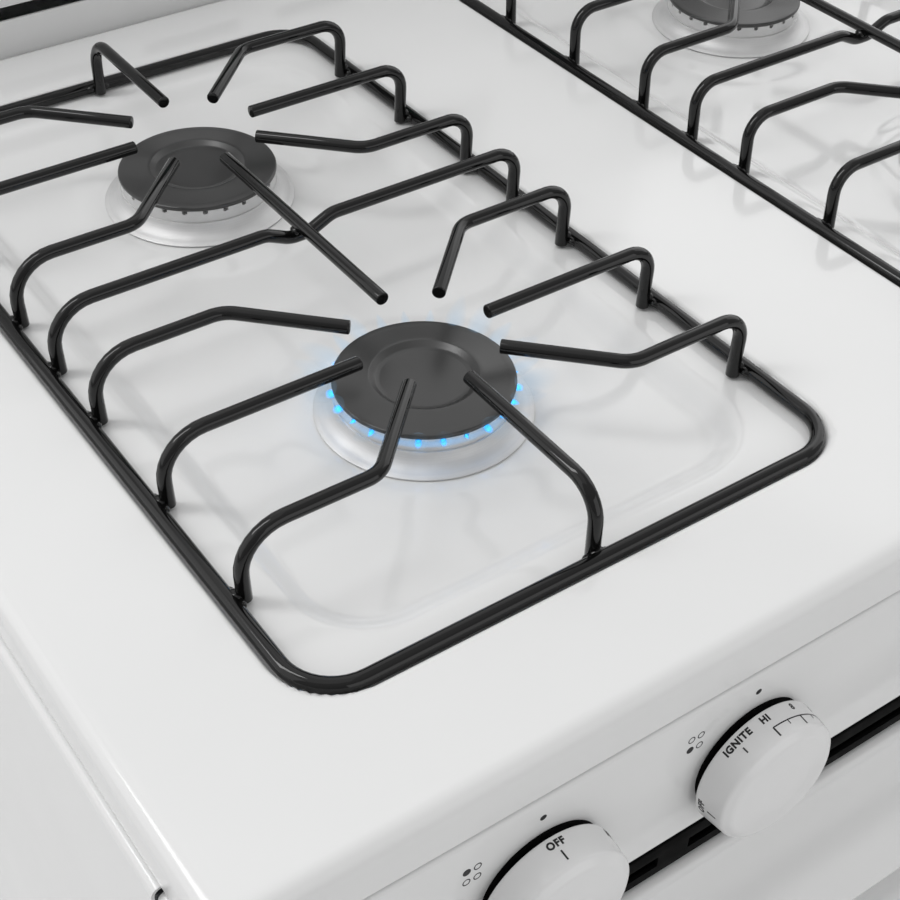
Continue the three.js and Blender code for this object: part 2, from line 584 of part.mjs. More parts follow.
// ---------------------------------------------------------------- oven door
const DOOR_BACK = BODY_FRONT - 2;
let doorSkin = midBox(DOOR_HALF_WIDTH, DOOR_FRONT, -272, DOOR_BOTTOM, DOOR_TOP);
doorSkin = cut(doorSkin,
  midBox(DOOR_HALF_WIDTH - SHEET, DOOR_FRONT + 2, -271, DOOR_BOTTOM + SHEET, DOOR_TOP - SHEET),
  midBox(WINDOW_HALF_WIDTH, DOOR_FRONT - 1, -271, ...WINDOW_Z));
// The lower flange is notched so that it clears the hinge brackets as the door opens.
for (const x of [-337, 337]) {
  doorSkin = cut(doorSkin,
    box(x - 10, x + 10, DOOR_FRONT + 4, -271, DOOR_BOTTOM - 1, DOOR_BOTTOM + SHEET + 1));
}
add('door_outer_panel', doorSkin, MATERIALS.whiteEnamel);
add('door_glass', midBox(WINDOW_HALF_WIDTH + 14, DOOR_FRONT + 2 + GAP, DOOR_FRONT + 6.3,
  WINDOW_Z[0] - 14, WINDOW_Z[1] + 14), MATERIALS.blackGlass);

let doorLiner = midBox(352, -268, DOOR_BACK, HINGE_Z + 6, DOOR_TOP - 8);
doorLiner = cut(doorLiner,
  midBox(352 - SHEET, -269, DOOR_BACK - 2, HINGE_Z + 6 + SHEET, DOOR_TOP - 8 - SHEET),
  midBox(WINDOW_HALF_WIDTH - 15, -269, DOOR_BACK + 1, WINDOW_Z[0] + 8, WINDOW_Z[1] - 8));
for (const sx of [-1, 1]) {
  for (const x of [323, 345]) {
    const lug = [sx * (x + 3) - 3, sx * (x + 3) + 3];
    doorLiner = join(doorLiner,
      box(...lug, HINGE_Y - 7, -258, HINGE_Z - 7, HINGE_Z + 8),
      box(...lug, -267, DOOR_BACK - 1, HINGE_Z + 2, HINGE_Z + 40));
  }
}
doorLiner = cut(doorLiner,
  cylinderX(HINGE_Y, HINGE_Z, -360, -310, 4.4),
  cylinderX(HINGE_Y, HINGE_Z, 310, 360, 4.4));
add('door_liner', doorLiner, MATERIALS.greyEnamel);
add('door_inner_glass', midBox(WINDOW_HALF_WIDTH + 5, -262, DOOR_BACK - 2 - GAP, WINDOW_Z[0] - 12,
  WINDOW_Z[1] + 12), MATERIALS.clearGlass);

const gasketOuter = roundedSlab(0, 0, OVEN_HALF_WIDTH + 20, 224, 20, 0, 1.4);
const gasketInner = roundedSlab(0, 0, OVEN_HALF_WIDTH + 11, 215, 12, -1, 3);
const gasket = cut(gasketOuter, gasketInner).rotate([90, 0, 0])
  .translate([0, BODY_FRONT - GAP, (OVEN_FLOOR + OVEN_TOP) / 2]);
add('door_gasket', gasket, MATERIALS.fibre);

const BAR_Y = HANDLE_FRONT + 12;
let handle = bentRod([
  [-HANDLE_HALF_LENGTH + 8, DOOR_FRONT - GAP, HANDLE_Z],
  [-HANDLE_HALF_LENGTH + 8, BAR_Y, HANDLE_Z],
  [HANDLE_HALF_LENGTH - 8, BAR_Y, HANDLE_Z],
  [HANDLE_HALF_LENGTH - 8, DOOR_FRONT - GAP, HANDLE_Z],
], [22, 22], 12, 8, 3);
add('door_handle', handle, MATERIALS.whitePlastic);

// Hinge brackets on the front frame carry the pins that the door's lugs turn on.
for (const [name, sx] of [['left', -1], ['right', 1]]) {
  const x = sx * 337;
  const bracket = join(
    box(x - 3.5, x + 3.5, HINGE_Y - 6, BODY_FRONT - GAP, HINGE_Z - 6, HINGE_Z + 6),
    box(x - 5.5, x + 5.5, BODY_FRONT - 3, BODY_FRONT - GAP, HINGE_Z - 18, HINGE_Z + 3.2),
    cylinderX(HINGE_Y, HINGE_Z, x - 17, x + 17, 4),
  );
  add(`door_hinge_${name}`, bracket, MATERIALS.galvanised);
}

// ---------------------------------------------------------------- storage drawer
const DRAWER_REAR_OF_FRONT = BODY_FRONT - 2;
let drawerFront = midBox(DOOR_HALF_WIDTH, DOOR_FRONT, DRAWER_REAR_OF_FRONT, DRAWER_BOTTOM, DRAWER_TOP);
drawerFront = cut(drawerFront,
  midBox(DOOR_HALF_WIDTH - SHEET, DOOR_FRONT + 2, BODY_FRONT, DRAWER_BOTTOM + SHEET, DRAWER_TOP - SHEET),
  midBox(150, DOOR_FRONT - 1, DOOR_FRONT + 14, DRAWER_TOP - 14, DRAWER_TOP + 1));
drawerFront = join(drawerFront, cut(
  midBox(152, DOOR_FRONT + 1, DOOR_FRONT + 16, DRAWER_TOP - 16, DRAWER_TOP - 0.5),
  midBox(150, DOOR_FRONT - 1, DOOR_FRONT + 14, DRAWER_TOP - 14, DRAWER_TOP + 1)));
add('drawer_front', drawerFront, MATERIALS.whiteEnamel);

const DRAWER_FLOOR = 84;
let drawerBox = midBox(DRAWER_BOX_HALF_WIDTH, DRAWER_REAR_OF_FRONT + GAP, DRAWER_BACK, DRAWER_FLOOR, 196);
drawerBox = cut(drawerBox, midBox(DRAWER_BOX_HALF_WIDTH - SHEET, DRAWER_REAR_OF_FRONT + GAP + SHEET,
  DRAWER_BACK - SHEET, DRAWER_FLOOR + SHEET, 200));
const RUNNER_Z = 120;
for (const sx of [-1, 1]) {
  const inner = sx * (DRAWER_BOX_HALF_WIDTH - 1);
  const outer = sx * (DRAWER_BOX_HALF_WIDTH + 11);
  drawerBox = join(drawerBox, box(Math.min(inner, outer), Math.max(inner, outer), BODY_FRONT + 16,
    DRAWER_BACK, RUNNER_Z, RUNNER_Z + 3));
}
add('drawer_box', drawerBox, MATERIALS.galvanised);
for (const [name, sx] of [['left', -1], ['right', 1]]) {
  const at = (a, b) => (sx > 0 ? [a, b] : [-b, -a]);
  const rail = cut(
    box(...at(DRAWER_BOX_HALF_WIDTH + 2, CASE_HALF_WIDTH - 1), BODY_FRONT + 7, DRAWER_BACK + 30,
      RUNNER_Z - 4, RUNNER_Z + 8),
    box(...at(DRAWER_BOX_HALF_WIDTH, DRAWER_BOX_HALF_WIDTH + 12), BODY_FRONT, DRAWER_BACK + 26,
      RUNNER_Z - GAP, RUNNER_Z + 4.5),
    box(...at(DRAWER_BOX_HALF_WIDTH + 15, CASE_HALF_WIDTH - 3), BODY_FRONT, DRAWER_BACK + 40,
      RUNNER_Z - 2, RUNNER_Z + 20),
  );
  add(`drawer_rail_${name}`, rail, MATERIALS.galvanised);
}

// ---------------------------------------------------------------- backguard
const BACKGUARD_BOTTOM = SIDE_TOP + GAP;
let guard = midBox(BODY_HALF_WIDTH - 0.5, BACKGUARD_FRONT, BODY_BACK - 2.5, BACKGUARD_BOTTOM, BACKGUARD_TOP);
const slope = new THREE.Shape([
  new THREE.Vector2(BACKGUARD_FRONT - 1, BACKGUARD_TOP - 190),
  new THREE.Vector2(BACKGUARD_FRONT + 26, BACKGUARD_TOP - 20),
  new THREE.Vector2(BACKGUARD_FRONT + 40, BACKGUARD_TOP + 1),
  new THREE.Vector2(BACKGUARD_FRONT - 1, BACKGUARD_TOP + 1),
]);
const slopeCut = new THREE.ExtrudeGeometry(slope, { depth: 800, bevelEnabled: false });
slopeCut.rotateX(Math.PI / 2);
slopeCut.rotateZ(Math.PI / 2);
slopeCut.translate(-400, 0, 0);
guard = cut(guard, toSolid(slopeCut));
guard = cut(guard,
  midBox(BODY_HALF_WIDTH - 2.5, BACKGUARD_FRONT + 42, BODY_BACK, BACKGUARD_BOTTOM - 1, BACKGUARD_TOP - 2),
  midBox(BODY_HALF_WIDTH - 2.5, BACKGUARD_FRONT + 2, BODY_BACK, BACKGUARD_BOTTOM - 1, BACKGUARD_TOP - 200));
for (let i = 0; i < 5; i += 1) {
  const x = (i - 2) * 90;
  guard = cut(guard, box(x - 32, x + 32, BACKGUARD_FRONT - 1, BACKGUARD_FRONT + 5, 932, 940));
}
add('backguard', guard, MATERIALS.whiteEnamel);
add('backguard_cover', midBox(BODY_HALF_WIDTH - 0.5, BODY_BACK - 2.2, BODY_BACK, BACKGUARD_BOTTOM,
  BACKGUARD_TOP - 4), MATERIALS.galvanised);

// Clock panel: a dark glass strip that lies on the sloping face.
const FACE_TILT = Math.atan2(27, 170);
const clock = new THREE.BoxGeometry(280, 3, 96);
const clockMesh = new THREE.Mesh(toGeometry(toSolid(clock)), MATERIALS.blackGlass);
clockMesh.name = 'clock_panel';
clockMesh.rotation.x = -FACE_TILT;
clockMesh.position.set(0, BACKGUARD_FRONT - 1 + 27 * (95 / 170) - 1.9, BACKGUARD_TOP - 95);
range.add(clockMesh);

export default range;
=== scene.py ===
import json
import math
import random

import bmesh
import bpy
import numpy as np
from mathutils import Matrix, Vector


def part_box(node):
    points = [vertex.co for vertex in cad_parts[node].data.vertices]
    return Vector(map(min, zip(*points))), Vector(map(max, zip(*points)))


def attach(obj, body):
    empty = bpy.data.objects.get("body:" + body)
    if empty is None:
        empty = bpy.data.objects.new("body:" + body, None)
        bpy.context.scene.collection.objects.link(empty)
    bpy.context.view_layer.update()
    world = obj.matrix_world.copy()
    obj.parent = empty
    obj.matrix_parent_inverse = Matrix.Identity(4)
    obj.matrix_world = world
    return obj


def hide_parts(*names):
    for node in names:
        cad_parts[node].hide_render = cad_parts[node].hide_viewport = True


# A white freestanding gas range. Lengths are in millimetres until mesh_piece() makes them metres.
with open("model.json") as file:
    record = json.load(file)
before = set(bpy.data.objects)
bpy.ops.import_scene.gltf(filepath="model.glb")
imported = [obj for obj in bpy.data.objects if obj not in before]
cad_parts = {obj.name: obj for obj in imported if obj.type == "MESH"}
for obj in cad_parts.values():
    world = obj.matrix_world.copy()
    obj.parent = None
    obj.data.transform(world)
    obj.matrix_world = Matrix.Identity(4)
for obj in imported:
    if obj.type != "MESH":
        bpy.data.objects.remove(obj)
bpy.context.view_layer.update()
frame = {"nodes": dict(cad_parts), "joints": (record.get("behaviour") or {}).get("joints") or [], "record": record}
MM = 0.001
JOINTS = {joint["name"]: joint for joint in frame["joints"]}


def node_box(node):
    """Lowest and highest corner of a CAD node, in millimetres."""
    low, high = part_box(node)
    return np.array(low) / MM, np.array(high) / MM


def node_centre(node):
    low, high = node_box(node)
    return (low + high) / 2


def node_radius(node):
    low, high = node_box(node)
    return (high[0] - low[0]) / 2


# ------------------------------------------------------------------ values taken from the frame
COOKTOP_LOW, COOKTOP_HIGH = node_box("cooktop")
COOKTOP_TOP = COOKTOP_HIGH[2]
GRATE_LOW, GRATE_HIGH = node_box("grate_left")
RAIL_R = 3.3
FINGER_R = 3.05
RAIL_Z = GRATE_LOW[2] + RAIL_R
FINGER_Z = GRATE_HIGH[2] - FINGER_R
GRATE_X = (GRATE_LOW[0] + GRATE_HIGH[0]) / 2
GRATE_Y = (GRATE_LOW[1] + GRATE_HIGH[1]) / 2
RAIL_HALF_X = (GRATE_HIGH[0] - GRATE_LOW[0]) / 2 - RAIL_R
RAIL_HALF_Y = (GRATE_HIGH[1] - GRATE_LOW[1]) / 2 - RAIL_R
BURNERS = {
    name: node_centre(f"burner_head_{name}")[:2]
    for name in ("left_front", "left_rear", "right_front", "right_rear")
}
LIT_BURNER = "left_front"
BURNER_REACH = abs(BURNERS["left_rear"][1] - BURNERS["left_front"][1]) / 2
KNOBS = {
    name: node_centre(f"knob_{name}")
    for name in ("left_rear", "left_front", "oven", "right_front", "right_rear")
}
PANEL_LOW, PANEL_HIGH = node_box("control_panel")
PANEL_FRONT = PANEL_LOW[1]

# ------------------------------------------------------------------ node materials


class Graph:
    """Short way to write a material's node tree."""

    def __init__(self, name):
        self.material = bpy.data.materials.new(name)
        self.material.use_nodes = True
        self.tree = self.material.node_tree
        self.shader = self.tree.nodes["Principled BSDF"]
        self.coordinates = self.tree.nodes.new("ShaderNodeTexCoord").outputs["Object"]

    def node(self, kind, inputs=None, **settings):
        made = self.tree.nodes.new(f"ShaderNode{kind}")
        for key, value in settings.items():
            setattr(made, key, value)
        for key, value in (inputs or {}).items():
            self.put(made.inputs[key], value)
        return made

    def put(self, socket, value):
        if isinstance(value, bpy.types.NodeSocket):
            self.tree.links.new(value, socket)
        else:
            socket.default_value = value

    def noise(self, scale, detail=3.0, roughness=0.5, vector=None):
        return self.node("TexNoise", {
            "Vector": vector or self.coordinates, "Scale": scale, "Detail": detail, "Roughness": roughness,
        }).outputs["Fac"]

    def ramp(self, value, low, high, start, end):
        """Maps value from low..high to start..end, both numbers or both colours."""
        if isinstance(start, (int, float)):
            made = self.node("MapRange", {
                "Value": value, "From Min": low, "From Max": high, "To Min": start, "To Max": end,
            })
            return made.outputs["Result"]
        made = self.node("ValToRGB", {"Fac": value})
        made.color_ramp.elements[0].position = low
        made.color_ramp.elements[1].position = high
        made.color_ramp.elements[0].color = (*start, 1)
        made.color_ramp.elements[1].color = (*end, 1)
        return made.outputs["Color"]

    def math(self, operation, a, b=0.0):
        made = self.node("Math", operation=operation)
        self.put(made.inputs[0], a)
        self.put(made.inputs[1], b)
        return made.outputs[0]

    def shares(self, a, share, b):
        """Weighted mean of two values, with a's share between 0 and 1."""
        return self.math("ADD", self.math("MULTIPLY", a, share),
                         self.math("MULTIPLY", b, round(1 - share, 3)))

    def radius(self):
        """Distance from the piece's own Z axis."""
        x, y = self.axis(0), self.axis(1)
        return self.math("SQRT", self.math("ADD", self.math("MULTIPLY", x, x), self.math("MULTIPLY", y, y)))

    def bump(self, height, strength, distance):
        """distance is the height of the relief, in metres."""
        earlier = self.shader.inputs["Normal"].links
        inputs = {"Height": height, "Strength": strength, "Distance": distance}
        if earlier:
            inputs["Normal"] = earlier[0].from_socket
        self.put(self.shader.inputs["Normal"], self.node("Bump", inputs).outputs["Normal"])

    def axis(self, index, source=None):
        split = self.node("SeparateXYZ", {"Vector": source or self.coordinates})
        return split.outputs[index]

    def finish(self, **sockets):
        """Sets the shader's sockets, named as in Blender but for these three."""
        names = {"color": "Base Color", "ior": "IOR", "specular": "Specular IOR Level"}
        for key, value in sockets.items():
            if isinstance(value, tuple):
                value = (*value, 1)
            self.put(self.shader.inputs[names.get(key, key.replace("_", " ").title())], value)
        return self.material


def enamel(name, low, high, rough, peel=0.00002, specular=0.5, speck=None):
    """Porcelain enamel: faint tone drift, orange peel, uneven gloss and, if asked for, specks."""
    g = Graph(name)
    color = g.ramp(g.noise(6, 4), 0.35, 0.65, low, high)
    if speck:
        dots = g.node("TexVoronoi", {"Vector": g.coordinates, "Scale": 420.0, "Randomness": 1.0})
        keep = g.math("MULTIPLY", g.math("LESS_THAN", dots.outputs["Distance"], 0.22),
                      g.math("GREATER_THAN", g.noise(160, 2), 0.56))
        mix = g.node("Mix", {"Factor": keep}, data_type="RGBA")
        g.put(mix.inputs[6], color)
        mix.inputs[7].default_value = (*speck, 1)
        color = mix.outputs[2]
    g.bump(g.noise(320, 2), 0.5, peel)
    g.bump(g.noise(45, 3), 0.4, peel * 1.5)
    return g.finish(color=color, roughness=g.ramp(g.noise(14, 5, 0.6), 0.3, 0.7, *rough),
                    specular=specular)


def plastic(name, low, high, rough, grain=0.00003, specular=0.5):
    g = Graph(name)
    g.bump(g.noise(900.0, 3), 0.6, grain)
    return g.finish(color=g.ramp(g.noise(9, 3), 0.35, 0.65, low, high), specular=specular,
                    roughness=g.ramp(g.noise(60, 4, 0.6), 0.3, 0.7, *rough))


def turned_metal(name, low, high, rough):
    """Fine grooves round the piece's own Z axis, as a lathe leaves them."""
    g = Graph(name)
    join = g.node("CombineXYZ")
    g.put(join.inputs[0], g.math("ADD", g.radius(), g.math("MULTIPLY", g.axis(2), 1.7)))
    rings = g.noise(1400.0, 4, 0.7, join.outputs[0])
    g.bump(rings, 0.5, 0.00002)
    return g.finish(color=g.ramp(g.shares(rings, 0.6, g.noise(40, 4, 0.6)), 0.35, 0.65, low, high),
                    metallic=1.0, roughness=g.ramp(rings, 0.3, 0.7, *rough))


def zinc_sheet(name, low, high, rough):
    """Galvanised steel with its crystal spangle."""
    g = Graph(name)
    cells = g.node("TexVoronoi", {"Vector": g.coordinates, "Scale": 150.0, "Randomness": 1.0})
    tone = g.axis(0, cells.outputs["Color"])
    g.bump(g.noise(300, 3), 0.3, 0.00003)
    return g.finish(color=g.ramp(tone, 0.1, 0.9, low, high), metallic=1.0,
                    roughness=g.ramp(g.shares(tone, 0.6, g.noise(30, 4)), 0.2, 0.8, *rough))


def bright_metal(name, low, high, rough):
    g = Graph(name)
    g.bump(g.noise(250.0, 3), 0.25, 0.00002)
    return g.finish(color=g.ramp(g.noise(25, 4, 0.6), 0.3, 0.7, low, high), metallic=1.0,
                    roughness=g.ramp(g.noise(50, 5, 0.7), 0.3, 0.7, *rough))


def black_glass(name):
    g = Graph(name)
    g.bump(g.noise(8, 1), 0.2, 0.00005)
    return g.finish(color=g.ramp(g.noise(30, 2), 0.3, 0.7, (0.006, 0.006, 0.007), (0.010, 0.010, 0.012)),
                    roughness=g.ramp(g.noise(20, 5, 0.7), 0.3, 0.8, 0.03, 0.08),
                    coat_weight=0.4, coat_roughness=0.03)


def window_glass(name, half_width, low_z, high_z, tint):
    """Glass with a printed black border that fades into the clear middle through dots."""
    g = Graph(name)
    x, z = g.math("ABSOLUTE", g.axis(0)), g.axis(2)
    side = g.math("SUBTRACT", half_width * MM, x)
    above = g.math("SUBTRACT", high_z * MM, z)
    below = g.math("SUBTRACT", z, low_z * MM)
    edge = g.math("MINIMUM", side, g.math("MINIMUM", above, below))
    dots = g.node("TexVoronoi", {"Vector": g.coordinates, "Scale": 330.0, "Randomness": 0.0})
    reach = g.math("ADD", edge, g.math("MULTIPLY", dots.outputs["Distance"], -0.012))
    clear = g.ramp(reach, 0.010, 0.0105, 0.0, 1.0)
    return g.finish(color=g.ramp(clear, 0.0, 1.0, (0.004, 0.004, 0.005), tint),
                    transmission_weight=clear, roughness=g.ramp(g.noise(25, 4), 0.3, 0.7, 0.01, 0.04), ior=1.5)


def woven_seal(name):
    g = Graph(name)
    weave = g.node("TexWave", {"Vector": g.coordinates, "Scale": 260.0, "Distortion": 2.0, "Detail": 1.0})
    g.bump(weave.outputs["Fac"], 0.8, 0.0004)
    return g.finish(color=g.ramp(weave.outputs["Fac"], 0.1, 0.9, (0.05, 0.05, 0.05), (0.2, 0.2, 0.19)),
                    roughness=g.ramp(g.noise(200), 0.3, 0.7, 0.8, 0.95), sheen_weight=0.3)


M = {
    "white_enamel": enamel("white_enamel", (0.785, 0.787, 0.785), (0.805, 0.807, 0.805), (0.07, 0.14)),
    "cavity_enamel": enamel("cavity_enamel", (0.030, 0.032, 0.036), (0.045, 0.047, 0.052), (0.25, 0.42),
                            peel=0.00003, speck=(0.5, 0.5, 0.52)),
    "grate_enamel": enamel("grate_enamel", (0.002, 0.002, 0.002), (0.004, 0.004, 0.004), (0.04, 0.09),
                           peel=0.00002, specular=0.42),
    "cap_enamel": enamel("cap_enamel", (0.024, 0.024, 0.024), (0.032, 0.032, 0.032), (0.27, 0.38),
                         peel=0.000015, specular=0.7),
    "burner_aluminium": turned_metal("burner_aluminium", (0.68, 0.68, 0.68), (0.82, 0.82, 0.82),
                                     (0.54, 0.68)),
    "galvanised_steel": zinc_sheet("galvanised_steel", (0.52, 0.53, 0.54), (0.62, 0.63, 0.64), (0.36, 0.52)),
    "rack_chrome": bright_metal("rack_chrome", (0.62, 0.63, 0.64), (0.76, 0.77, 0.78), (0.08, 0.20)),
    "valve_brass": bright_metal("valve_brass", (0.52, 0.37, 0.13), (0.68, 0.51, 0.22), (0.22, 0.38)),
    "knob_plastic": plastic("knob_plastic", (0.79, 0.79, 0.79), (0.805, 0.805, 0.805), (0.20, 0.26),
                            0.000003),
    "black_plastic": plastic("black_plastic", (0.002, 0.002, 0.002), (0.004, 0.004, 0.004), (0.6, 0.75),
                             0.00006, specular=0.06),
    "black_glass": black_glass("black_glass"),
    "seal_fibre": woven_seal("seal_fibre"),
    "print_black": plastic("print_black", (0.005, 0.005, 0.006), (0.009, 0.009, 0.010), (0.35, 0.5), 0.00001),
    "print_grey": plastic("print_grey", (0.32, 0.33, 0.34), (0.38, 0.39, 0.40), (0.4, 0.5), 0.00001),
    "ceramic": plastic("ceramic", (0.72, 0.70, 0.66), (0.80, 0.78, 0.74), (0.3, 0.5), 0.00005),
    "screw_steel": bright_metal("screw_steel", (0.20, 0.21, 0.22), (0.32, 0.33, 0.34), (0.25, 0.4)),
}


def make_object(name, verts, faces, weld=False):
    """Scene object with its normals outwards. With weld, points in one place become one."""
    data = bpy.data.meshes.new(name)
    data.from_pydata([tuple(v) for v in verts], [], [tuple(f) for f in faces])
    bm = bmesh.new()
    bm.from_mesh(data)
    if weld:
        bmesh.ops.remove_doubles(bm, verts=bm.verts, dist=1e-6)
        bmesh.ops.dissolve_degenerate(bm, edges=bm.edges, dist=1e-7)
    bmesh.ops.recalc_face_normals(bm, faces=bm.faces)
    bm.to_mesh(data)
    bm.free()
    return linked(name, data)


def linked(name, data):
    made = bpy.data.objects.new(name, data)
    bpy.context.scene.collection.objects.link(made)
    return made


def mesh_piece(name, verts, faces, material, body="root", slot=None, stands_for=(), at=(0, 0, 0), sharp=35):
    """Makes a closed mesh, in millimetres, into a piece that rides on a body.

    With no body it becomes stage dressing.
    """
    piece = make_object(name, np.asarray(verts, float) * MM, faces, weld=True)
    piece.data.shade_smooth()
    piece.data.set_sharp_from_angle(angle=math.radians(sharp))
    piece.data.materials.append(M[material])
    piece.location = Vector(at) * MM
    if body is None:
        return
    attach(piece, body)
    if stands_for:
        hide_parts(*stands_for)


def merged(*parts):
    """Joins (verts, faces) pairs into one."""
    verts, faces = [], []
    for part_verts, part_faces in parts:
        base = len(verts)
        verts.extend(tuple(v) for v in part_verts)
        faces.extend(tuple(base + i for i in face) for face in part_faces)
    return verts, faces


def moved(part, offset=(0, 0, 0), turn=None):
    verts = np.asarray(part[0], float)
    if turn is not None:
        verts = verts @ np.array(turn).T
    return verts + np.array(offset, float), part[1]


def rotation(angle_deg, axis):
    return np.array(Matrix.Rotation(math.radians(angle_deg), 3, axis))


def facing_front(part, offset=(0, 0, 0)):
    """Turns a part so that its +Z side faces the front, which is -Y."""
    return moved(part, offset, rotation(90, "X"))


def lathe(profile, segments=96, radius_at=None):
    """Solid of revolution about Z from (r, z) points.

    radius_at(index, angle, r) may shape single rings.
    """
    verts, rings = [], []
    for index, (r, z) in enumerate(profile):
        if r < 1e-6:
            rings.append([len(verts)])
            verts.append((0, 0, z))
            continue
        ring = []
        for s in range(segments):
            a = 2 * math.pi * s / segments
            here = radius_at(index, a, r) if radius_at else r
            ring.append(len(verts))
            verts.append((here * math.cos(a), here * math.sin(a), z))
        rings.append(ring)
    faces = []
    loops = list(zip(rings, rings[1:]))
    if len(rings[0]) > 1 and len(rings[-1]) > 1:
        loops.append((rings[-1], rings[0]))
    for low, high in loops:
        for s in range(segments):
            t = (s + 1) % segments
            quad = [low[s % len(low)], low[t % len(low)], high[t % len(high)], high[s % len(high)]]
            face = [v for i, v in enumerate(quad) if v not in quad[:i]]
            if len(face) > 2:
                faces.append(face)
    return verts, faces


def smooth_profile(points, bends, steps=5):
    """Polyline with each inner corner rounded to its radius (0 keeps it sharp). Works in 2-D and 3-D."""
    points = [np.array(p, float) for p in points]
    out = [points[0]]
    for before, here, after, radius in zip(points, points[1:], points[2:], bends):
        if radius <= 0:
            out.append(here)
            continue
        a, b = before - here, after - here
        a, b = a / np.linalg.norm(a), b / np.linalg.norm(b)
        angle = math.acos(float(np.clip(a @ b, -1, 1)))
        if math.pi - angle < 1e-3:
            out.append(here)
            continue
        trim = radius / math.tan(angle / 2)
        start, end = here + a * trim, here + b * trim
        middle = (a + b) / np.linalg.norm(a + b)
        centre = here + middle * (radius / math.sin(angle / 2))
        sweep = math.pi - angle
        for s in range(steps + 1):
            f = s / steps
            arm = (start - centre) * math.sin((1 - f) * sweep) + (end - centre) * math.sin(f * sweep)
            out.append(centre + arm / math.sin(sweep))
    out.append(points[-1])
    return out


def tube(path, radius, sides=16, closed=False, squash=1.0, tip=0.16):
    """Round bar along a path, with its ends cut square and their rims softened by `tip` of the radius."""
    path = np.array(path, float)
    count = len(path)
    ahead = np.roll(path, -1, 0) - path
    back = path - np.roll(path, 1, 0)
    if not closed:
        ahead[-1], back[0] = back[-1], ahead[0]
    ahead = ahead / np.linalg.norm(ahead, axis=1)[:, None]
    back = back / np.linalg.norm(back, axis=1)[:, None]
    tangent = ahead + back
    tangent /= np.linalg.norm(tangent, axis=1)[:, None]
    side = np.cross(tangent[0], (0, 0, 1))
    if np.linalg.norm(side) < 0.1:
        side = np.cross(tangent[0], (0, 1, 0))
    frames = []
    for t in tangent:
        side = side - t * (side @ t)
        side /= np.linalg.norm(side)
        frames.append((side.copy(), np.cross(t, side)))
    stations = [(path[i], radius, frames[i]) for i in range(count)]
    if not closed:
        soft = radius * tip
        for end, sign in ((0, 1), (-1, -1)):
            t = tangent[end] * sign
            rings = [(path[end] + t * soft * (1 - math.cos(a)), radius - soft * (1 - math.sin(a)),
                      frames[end])
                     for a in (0, math.pi / 6, math.pi / 3)]
            last = (path[end] + t * soft, radius, frames[end])
            if sign > 0:
                stations = rings + [last] + stations[1:]
            else:
                stations = stations[:-1] + [last] + rings[::-1]
    verts, faces = [], []
    for point, r, (u, v) in stations:
        for s in range(sides):
            a = 2 * math.pi * s / sides
            verts.append(point + u * r * math.cos(a) + v * r * squash * math.sin(a))
    loops = len(stations)
    for i in range(loops if closed else loops - 1):
        j = (i + 1) % loops
        for s in range(sides):
            t = (s + 1) % sides
            faces.append((i * sides + s, i * sides + t, j * sides + t, j * sides + s))
    if not closed:
        faces.append(tuple(range(sides))[::-1])
        faces.append(tuple((loops - 1) * sides + s for s in range(sides)))
    return verts, faces


def bead(centre, radii, segments=12, rings=7):
    profile = [(math.sin(math.pi * i / rings), -math.cos(math.pi * i / rings)) for i in range(rings + 1)]
    profile[0], profile[-1] = (0, -1), (0, 1)
    verts, faces = lathe(profile, segments)
    return np.array(verts) * radii + np.array(centre), faces


def block(low, high, radius=1.5, segments=3, open_side=None, wall=None):
    """Box with rounded edges. With open_side it is a folded sheet of thickness wall, open on that side."""
    low, high = np.array(low, float), np.array(high, float)
    bm = bmesh.new()
    bmesh.ops.create_cube(bm, size=1)
    size, middle = high - low, (low + high) / 2
    for v in bm.verts:
        v.co = Vector(np.array(v.co) * size + middle)
    if open_side is not None:
        bm.normal_update()
        gone = [f for f in bm.faces if f.normal.dot(Vector(open_side)) > 0.9]
        bmesh.ops.delete(bm, geom=gone, context="FACES_ONLY")
    edges = [e for e in bm.edges if len(e.link_faces) == 2]
    if radius > 0:
        bmesh.ops.bevel(bm, geom=edges, offset=radius, segments=segments, profile=0.5, affect="EDGES",
                        clamp_overlap=True)
    part = from_bmesh(bm)
    return thicken(part, wall) if open_side is not None else part


def front_sheet(low, high, radius):
    """Folded enamelled sheet that is open at the back."""
    return block(low, high, radius, 5, open_side=(0, 1, 0), wall=FOLDED)


def from_bmesh(bm):
    bm.verts.ensure_lookup_table()
    bm.verts.index_update()
    part = [tuple(v.co) for v in bm.verts], [tuple(v.index for v in f.verts) for f in bm.faces]
    bm.free()
    return part


def evaluated(made):
    """The (verts, faces) pair of an object after its modifiers."""
    bpy.context.view_layer.update()
    result = made.evaluated_get(bpy.context.evaluated_depsgraph_get()).to_mesh()
    return [tuple(v.co) for v in result.vertices], [tuple(f.vertices) for f in result.polygons]


def through_modifier(part, kind, **settings):
    """Runs one Blender modifier over a (verts, faces) pair and gives the pair back."""
    work = make_object("work", *part)
    modifier = work.modifiers.new("work", kind)
    for key, value in settings.items():
        setattr(modifier, key, value)
    out = evaluated(work)
    bpy.data.meshes.remove(work.data)
    return out


def thicken(part, wall):
    return through_modifier(part, "SOLIDIFY", thickness=wall, offset=-1, use_even_offset=True)


def carved(part, *cutters):
    """Cuts closed shapes out of a closed shape."""
    for cutter in cutters:
        tool = make_object("work", *cutter)
        part = through_modifier(part, "BOOLEAN", object=tool, operation="DIFFERENCE", solver="EXACT")
        bpy.data.meshes.remove(tool.data)
    return part


def rod(start, end, radius, sides=24):
    return tube([start, end], radius, sides, tip=0.02)


